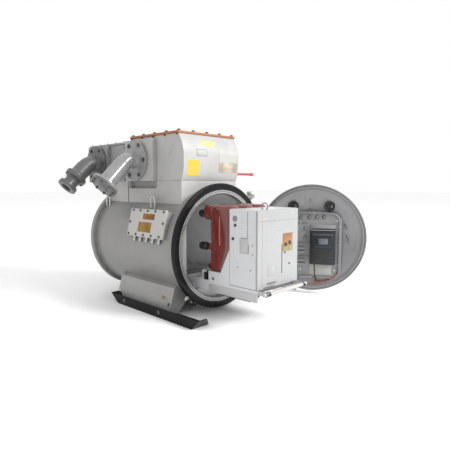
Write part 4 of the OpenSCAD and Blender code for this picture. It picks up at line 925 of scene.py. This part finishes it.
knobLine = knob((0.0125, 0.006), (0.0118, 0.026), (0.0100, 0.029))
doorPiece("selectorKnobs", "weldGrey", onPanel(turnedShape(knobLine, 24), panel["knobs"]),
          onPanel(plateShape(0.0055, 0.022, 0.034, 0.002, 0.001), panel["knobs"]), sharp=50)
doorPiece("wireTrunk", "trunkGrey", lead(leads["trunk"], 90, -0.327, 0.0095, 14), sharp=60, replaced=("wire_duct",))
doorPiece("trunkClips", "doorGrey", onPanel(plateShape(0.030, 0.012, 0.018, 0.002, 0.0006), panel["uprightClips"]),
          facing(0.012, 0.030, 0.018, -0.020, 0.716))
doorPiece("blackLead", "sealRubber", lead(leads["black"], 40, -0.331, 0.0042), sharp=60)
doorPiece("redLeads", "leadRed", *[lead(np.array(leads["red"]) - [0, aside], 50, -0.338 + aside, 0.0036)
                                   for aside in (0, 0.009)], lead(leads["redEnd"], 50, -0.329, 0.003), sharp=60)
doorPiece("panelLabel", "labelPale", facing(0.186, 0.092, 0.0012, -0.086, 0.214))
doorPiece("panelShelf", "fittingGrey", facing(0.110, 0.012, 0.030, 0.040, 0.150, -0.340),
          facing(0.130, 0.006, 0.026, -0.115, 0.152, -0.340))
doorPiece("panelRails", "trunkGrey", facing(0.118, 0.005, 0.010, 0.068, 0.452),
          facing(0.100, 0.004, 0.008, 0.074, 0.628))
terminalShape = plateShape(0.060, 0.016, 0.022, 0.002, 0.0006)
doorPiece("panelTerminals", "fittingGrey", onPanel(terminalShape, panel["terminals"]),
          facing(0.110, 0.004, 0.010, 0.060, 0.332))
doorPiece("panelScrews", "platedSteel", onPanel(boltShape(0.0058, 0.004), panel["screws"]))
bossShape = turnedShape([(0, -0.004), (0.012, -0.004), (0.011, 0.006), (0.006, 0.010), (0, 0.011)], 20)
doorPiece("dishBosses", "fittingGrey", repeated(bossShape, [insideDish(x, z) for x, z in panel["bosses"]], toRear))
for number, (x, z) in enumerate(panel["hooks"]):
    drop = 0.02 * number
    steps = ((0, -0.004, 0), (0, 0.012, 0), (-0.002, 0.022, -0.004), (-0.008, 0.026, -0.016),
             (-0.014, 0.026, -0.030 - drop), (-0.018, 0.022, -0.040 - drop))
    doorPiece("dishHook%d" % number, "crossGrey",
              tubeShape(np.array(insideDish(x, z)) + steps, 0.005, 12, (1, 0, 0.3)), sharp=60)
print("door done")

breaker = {"half": 0.222, "front": -0.843, "pitch": 0.146, "insidePlates": 0.2150, "armEnd": -0.239}
pole = {"width": 0.124, "front": -0.595, "back": -0.389, "slant": 0.084, "shoulder": 0.522, "foot": 0.356,
        "top": 0.819, "dome": 0.036, "head": (0.710, 0.817), "headWidth": 0.112, "headStart": -0.419,
        "headBack": -0.318, "ribAside": -0.0605, "rib": (-0.492, 0.640), "bushHigh": 0.512, "feet": (0.008, 0.376),
        "footKnob": (-0.034, 0.016, 0.380), "arms": (0.752, 0.512)}


def truckPiece(name, finish, *shapes, **more):
    return addPiece(name, finish, *shapes, body="truck", **more)


def poleShape(middleX):
    # rings of a rounded rectangle stacked in height: the front follows the slant, the last rings close in as a
    # quarter circle does, and the outline turns from a rounded square towards a circle
    foot, shoulder, top, dome = pole["foot"], pole["shoulder"], pole["top"], pole["dome"]
    bend = np.linspace(0.1, math.pi / 2, 10)
    heights = np.concatenate([[foot, foot, foot + 0.004], np.linspace(foot + 0.02, shoulder, 8),
                              np.linspace(shoulder + 0.02, top - dome, 6), top - dome * (1 - np.sin(bend)), [top]])
    inset = np.concatenate([[1, 0.004], np.zeros(15), dome * (1 - np.cos(bend)), [1]])
    near = pole["front"] + np.interp(heights, [foot, shoulder], [pole["slant"], 0])
    angle = fullTurn(48)
    power = np.interp(heights, [top - 0.12, top], [0.32, 0.62])[:, None]
    reaches = ((pole["width"] / 2, np.cos(angle)), ((pole["back"] - near) / 2, np.sin(angle)))
    reachX, reachY = [np.maximum(reach - inset, 0)[:, None] * np.sign(wave) * np.abs(wave) ** power
                      for reach, wave in reaches]
    middleY = ((near + pole["back"]) / 2)[:, None]
    points = np.stack([middleX + reachX, middleY + reachY, np.repeat(heights[:, None], 48, 1)], -1)
    return points.reshape(-1, 3), gridFaces(len(heights), 48, wrapColumns=True)


softened("breaker_housing", "breakerWhite", 0.006, 3, "truck")
# the front's greyer white is painted shade set against the key light
softened("breaker_front", "breakerFace", 0.006, 3, "truck")
truckFrame = softened("truck_frame", "breakerWhite", 0.0012, body="truck")
truckFrame.data.materials.append(finishes["crossGrey"])
# the faces between the side plates, under the breaker, take the near-black finish: painted shade
between = np.array([abs(face.center.x) < breaker["insidePlates"] for face in truckFrame.data.polygons])
truckFrame.data.polygons.foreach_set("material_index", between.astype(np.int32))

columns, poleBack = [-breaker["pitch"], 0, breaker["pitch"]], pole["back"]
headSize = (pole["headWidth"], pole["head"][1] - pole["head"][0], pole["headBack"] - pole["headStart"])
headPlaces = [(x, pole["headStart"], sum(pole["head"]) / 2) for x in columns]
heads = repeated(plateShape(*headSize, 0.036, 0.010, 9), headPlaces, toRear)
truckPiece("breakerPoles", "epoxyRed", *[poleShape(x) for x in columns], heads, sharp=50, replaced=("breaker_poles",))
# the ribs' paler epoxy is a painted highlight
truckPiece("poleRibs", "epoxyRib", repeated(plateShape(0.010, 0.205, 0.0055, 0.0045, 0.0028),
                                            [(x + pole["ribAside"], *pole["rib"]) for x in columns], toLeft))
bushLine = [(0, 0), (0.040, 0), (0.036, 0.012), (0.0315, 0.018), (0.0315, 0.034), (0.030, 0.0355), (0.024, 0.0355),
            (0, 0.0350)]
truckPiece("poleBushes", "bushOrange",
           repeated(turnedShape(bushLine, 36), [(x, poleBack, pole["bushHigh"]) for x in columns], toRear), sharp=50)
aside, behind, high = pole["footKnob"]
footBlock, footKnob = plateShape(0.104, 0.030, 0.026, 0.006, 0.003), [(0, 0), (0.016, 0), (0.015, 0.012), (0, 0.014)]
blockPlaces = [(x, poleBack - pole["feet"][0], pole["feet"][1]) for x in columns]
truckPiece("poleFeet", "bushBrown", repeated(footBlock, blockPlaces, toRear),
           repeated(turnedShape(footKnob, 20), [(x + aside, poleBack + behind, high) for x in columns], toRear))
tulip = knob((0.022, 0.0), (0.022, 0.004), (0.0215, 0.014), (0.0265, 0.020), (0.029, 0.026), (0.029, 0.038),
             (0.0275, 0.040), (0.0275, 0.045), (0.029, 0.047), (0.029, 0.060), (0.0275, 0.062), (0.0275, 0.067),
             (0.029, 0.069), (0.0285, 0.080), (0.026, 0.084), (0.020, 0.084), (0.019, 0.060))
armShapes = []
for x in columns:
    for z, start in zip(pole["arms"], (pole["headBack"] - 0.002, poleBack + 0.034)):
        line = np.array(tulip)
        line[:, 1] = np.maximum(line[:, 1] + breaker["armEnd"] - start - 0.084, 0)
        line[:2, 1] = 0
        armShapes.append(aimed(turnedShape(line, 36, 0.0012), (x, start, z), toRear))
truckPiece("contactArms", "contactDark", *armShapes, sharp=50, replaced=("contact_arms",))

wheels = {"across": 0.216, "along": (-0.013, -0.173), "high": 0.2103}
wheelLine = knob((0.008, 0), (0.008, 0.004), (0.0185, 0.004), (0.020, 0.006), (0.020, 0.016), (0.0185, 0.018),
                 (0.008, 0.018))
truckPiece("truckRollers", "platedSteel",
           *[aimed(turnedShape(wheelLine, 32), (side * wheels["across"], y, wheels["high"]), (-side, 0, 0))
             for side in bothSides for y in wheels["along"]], replaced=("truck_rollers",))

pull = {"place": (-0.910, 0.270), "arm": (0.026, 0.097, 0.008), "arms": (0.212, -0.8615, 0.267),
        "ends": (-0.242, 0.230), "clamps": (-0.222, -0.196, 0.184),
        "screws": ((-0.196, -0.928, 0.270), (0.191, -0.928, 0.270))}
length = pull["ends"][1] - pull["ends"][0]
barLine = knob((0.0105, 0), (0.013, 0.003), (0.013, length - 0.003), (0.0105, length))
armPlaces = [(side * pull["arms"][0] - pull["arm"][2] / 2, *pull["arms"][1:]) for side in bothSides]
truckPiece("pullBar", "pullCream", aimed(turnedShape(barLine, 28), (pull["ends"][0], *pull["place"]), toRight),
           repeated(plateShape(*pull["arm"], 0.006, 0.0015), armPlaces, toRight, toRear),
           replaced=("pull_bar",))
gripLine = [(0.0132, 0), (0.0165, 0), (0.0175, 0.002), (0.0175, 0.012), (0.0165, 0.014), (0.0132, 0.014)]
truckPiece("pullBarClamps", "crossGrey", repeated(turnedShape(gripLine, 24, loop=True),
                                                  [(x, *pull["place"]) for x in pull["clamps"]], toRight))
truckPiece("pullBarScrews", "contactDark", repeated(boltShape(0.0075, 0.006, 1.2), pull["screws"], toFront))


def onHousing(way, across, up):
    # a point of the housing's front, or of its left side, where across runs along Y
    return (across, breaker["front"], up) if way == toFront else (-breaker["half"], across, up)


def housingPlate(way, across, up, thick=0.0012, corner=0.002, edge=0.0004):
    size = (across[1] - across[0], up[1] - up[0], thick)
    return aimed(plateShape(*size, corner, edge), onHousing(way, sum(across) / 2, sum(up) / 2), way)


buttonLine = [(0, 0), (0.0130, 0), (0.0125, 0.006), (0.0095, 0.0085), (0, 0.009)]
plugLine = knob((0.020, 0), (0.020, 0.0018), (0.016, 0.0022), (0.0155, 0.001))
screwLine = [(0, 0), (0.0055, 0), (0.005, 0.0016), (0, 0.0018)]
housingGear = {  # finish, direction, plates as reach across, reach up, thickness, corner and edge, then a form and
    # its places
    "frontLabel": ("plateOrange", toFront, [((0.044, 0.157), (0.552, 0.632), 0.0014)]),
    "frontLabelFoot": ("plateOlive", toFront, [((0.044, 0.157), (0.508, 0.553), 0.0014)]),
    "frontButtons": ("contactDark", toFront, [], (turnedShape(buttonLine, 24), [(0.076, 0.556), (0.122, 0.566)])),
    # dark plates and discs where the front has slots and holes: painted shade inside the openings
    "frontSlot": ("slotGrey", toFront, [
        ((0.031, 0.041), (0.362, 0.560)), ((-0.124, -0.026), (0.306, 0.318)), ((-0.160, -0.044), (0.286, 0.294))]),
    "frontHoles": ("contactDark", toFront, [], (
        turnedShape(knob((0.0085, 0), (0.008, 0.0012)), 22), [(0.071, 0.500), (0.122, 0.419)])),
    "frontSeams": ("seamGrey", toFront, [
        ((-0.214, 0.214), (0.7235, 0.7258), 0.0006, 0.001, 0.0002),
        ((-0.176, -0.174), (0.300, 0.720), 0.0006, 0.0009, 0.0002)]),
    "frontFrame": ("seamPale", toFront, [
        ((-0.116, -0.052), (0.360, 0.442)), ((-0.140, -0.030), (0.340, 0.348), 0.0010)]),
    "frontFrameFace": ("breakerFace", toFront, [((-0.113, -0.055), (0.363, 0.439), 0.0017)]),
    "frontMark": ("markPink", toFront, [((-0.180, -0.135), (0.735, 0.752), 0.0008)]),
    "frontMarkTwo": ("seamPale", toFront, [((0.128, 0.164), (0.764, 0.776), 0.0008)]),
    "sideBolts": ("contactDark", toLeft, [], (boltShape(0.0085, 0.006, 1.3), [(-0.650, 0.693), (-0.630, 0.602)])),
    "sidePlug": ("seamGrey", toLeft, [], (turnedShape(plugLine, 28), [(-0.648, 0.737)])),
    "sideScrews": ("weldGrey", toLeft, [], (
        turnedShape(screwLine, 16), [(-0.801, 0.570), (-0.802, 0.512), (-0.786, 0.408), (-0.672, 0.415)])),
    "latchCover": ("breakerShade", toLeft, [((-0.764, -0.692), (0.516, 0.612), 0.0030, 0.003, 0.001)]),
    # dark lines along the latch cover's bottom, left and top edges: painted shadow lines round the raised cover; the
    # long upright one is a wire
    "latchLines": ("slotGrey", toLeft, [
        ((-0.768, -0.690), (0.5135, 0.5175)), ((-0.768, -0.7645), (0.514, 0.575)), ((-0.762, -0.700), (0.612, 0.6150)),
        ((-0.7605, -0.7575), (0.628, 0.785), 0.0008), ((-0.765, -0.752), (0.6245, 0.6285), 0.0010)]),
    "frameBand": ("breakerShade", toLeft, [((-0.842, -0.393), (0.203, 0.262), 0.0008)]),
    # a thin dark strip under the side plate's lower edge: partly a rubber edge, partly painted shadow
    "frameFoot": ("contactDark", toLeft, [((-0.790, -0.500), (0.1995, 0.2035), 0.0010)])}
for name, (finish, way, plates, *forms) in housingGear.items():
    truckPiece(name, finish, *[housingPlate(way, *plate) for plate in plates],
               *[repeated(shape, [onHousing(way, *spot) for spot in places], way) for shape, places in forms])
cheek = {"size": (0.067, 0.070, 0.010), "place": (-0.3585, 0.317), "across": 0.217, "slot": (-0.360, 0.311),
         "hole": (-0.438, 0.300)}
truckPiece("rearCheeks", "breakerWhite", repeated(plateShape(*cheek["size"], 0.003, 0.001),
           [(side * cheek["across"] - cheek["size"][2] / 2, *cheek["place"]) for side in bothSides], toRight))
# a dark plate and a dark disc where the side has a slot and a hole: painted shade inside the openings
slotShape = plateShape(0.030, 0.056, 0.0012, 0.003, 0.0004)
truckPiece("cheekSlot", "contactDark", aimed(slotShape, onHousing(toLeft, *cheek["slot"]), toLeft))
holeShape = turnedShape(knob((0.010, 0), (0.0095, 0.0012)), 22)
truckPiece("cheekHole", "contactDark", aimed(holeShape, onHousing(toLeft, *cheek["hole"]), toLeft))
topRing = {"place": (-0.100, -0.800, 0.817), "radius": 0.024, "rod": 0.0045}
circle = np.column_stack([np.zeros(32), np.cos(fullTurn(32)), np.sin(fullTurn(32))]) * topRing["radius"]
ringShape = tubeShape(circle + topRing["place"], topRing["rod"], 10, askew, loop=True)
truckPiece("topRing", "weldGrey", ringShape, sharp=60)
print("breaker done")

liner = {"across": 0.300, "middle": (0.170, 0.501), "size": (0.820, 0.558), "thick": 0.003, "low": 0.222,
         "ledge": 0.010}
apron = {"place": -0.252, "reach": 0.416, "top": 0.183, "thick": 0.003}
softened("guide_rails", "innerGrey", 0.0015)
softened("contact_plate", "innerGrey", 0.0015)
half = math.sqrt(apron["reach"] ** 2 - (tank["axis"] - apron["top"]) ** 2) - 0.002
across, share = np.meshgrid(np.linspace(-half, half, 60), np.linspace(0, 1, 4))
under = tank["axis"] - np.sqrt(apron["reach"] ** 2 - across ** 2)  # the lower edge follows the tank's circle
rows = np.stack([across, np.full(across.shape, apron["place"]), under + share * (apron["top"] - under)], -1)
behind = rows[::-1] + [0, apron["thick"], 0]
addPiece("floorApron", "innerGrey", (np.concatenate([rows, behind]).reshape(-1, 3), gridFaces(8, 60, True)))
skin = band(tank["inner"] - 0.0012, tank["inner"] - 0.0002, front + 0.001, back)
# the lining and side liners are made pale as painted light inside the closed tank
addPiece("tankLining", "innerPale", aboutTank(skin, 160))
long, tall = liner["size"]
addPiece("sideLiners", "innerPale", repeated(plateShape(long, tall, liner["thick"], 0.004, 0.0008),
         [(side * liner["across"] - liner["thick"] / 2, *liner["middle"]) for side in bothSides], toRight))
ledge, inwards = liner["ledge"], liner["across"] - liner["ledge"] - 0.001
addPiece("linerLedges", "innerGrey", repeated(plateShape(long, 0.006, ledge, 0.001, 0.0004),
         [(x, liner["middle"][0], liner["low"] + 0.003) for x in (-inwards - ledge, inwards)], toRight))
print("inside done")

floorMesh, reach = bpy.data.meshes.new("floor"), studio["floorSize"]
floorCorners = [(-reach, -reach, 0), (reach, -reach, 0), (reach, reach, 0), (-reach, reach, 0)]
floorMesh.from_pydata(floorCorners, [], [(0, 1, 2, 3)])
floor = placed("floor", floorMesh)
floorLook = bpy.data.materials.new("floorPale")
floorLook.use_nodes = True
floorShader = floorLook.node_tree.nodes["Principled BSDF"].inputs
floorShader["Base Color"].default_value = (studio["floorTone"],) * 3 + (1,)
floorShader["Roughness"].default_value = studio["floorRough"]
floorMesh.materials.append(floorLook)
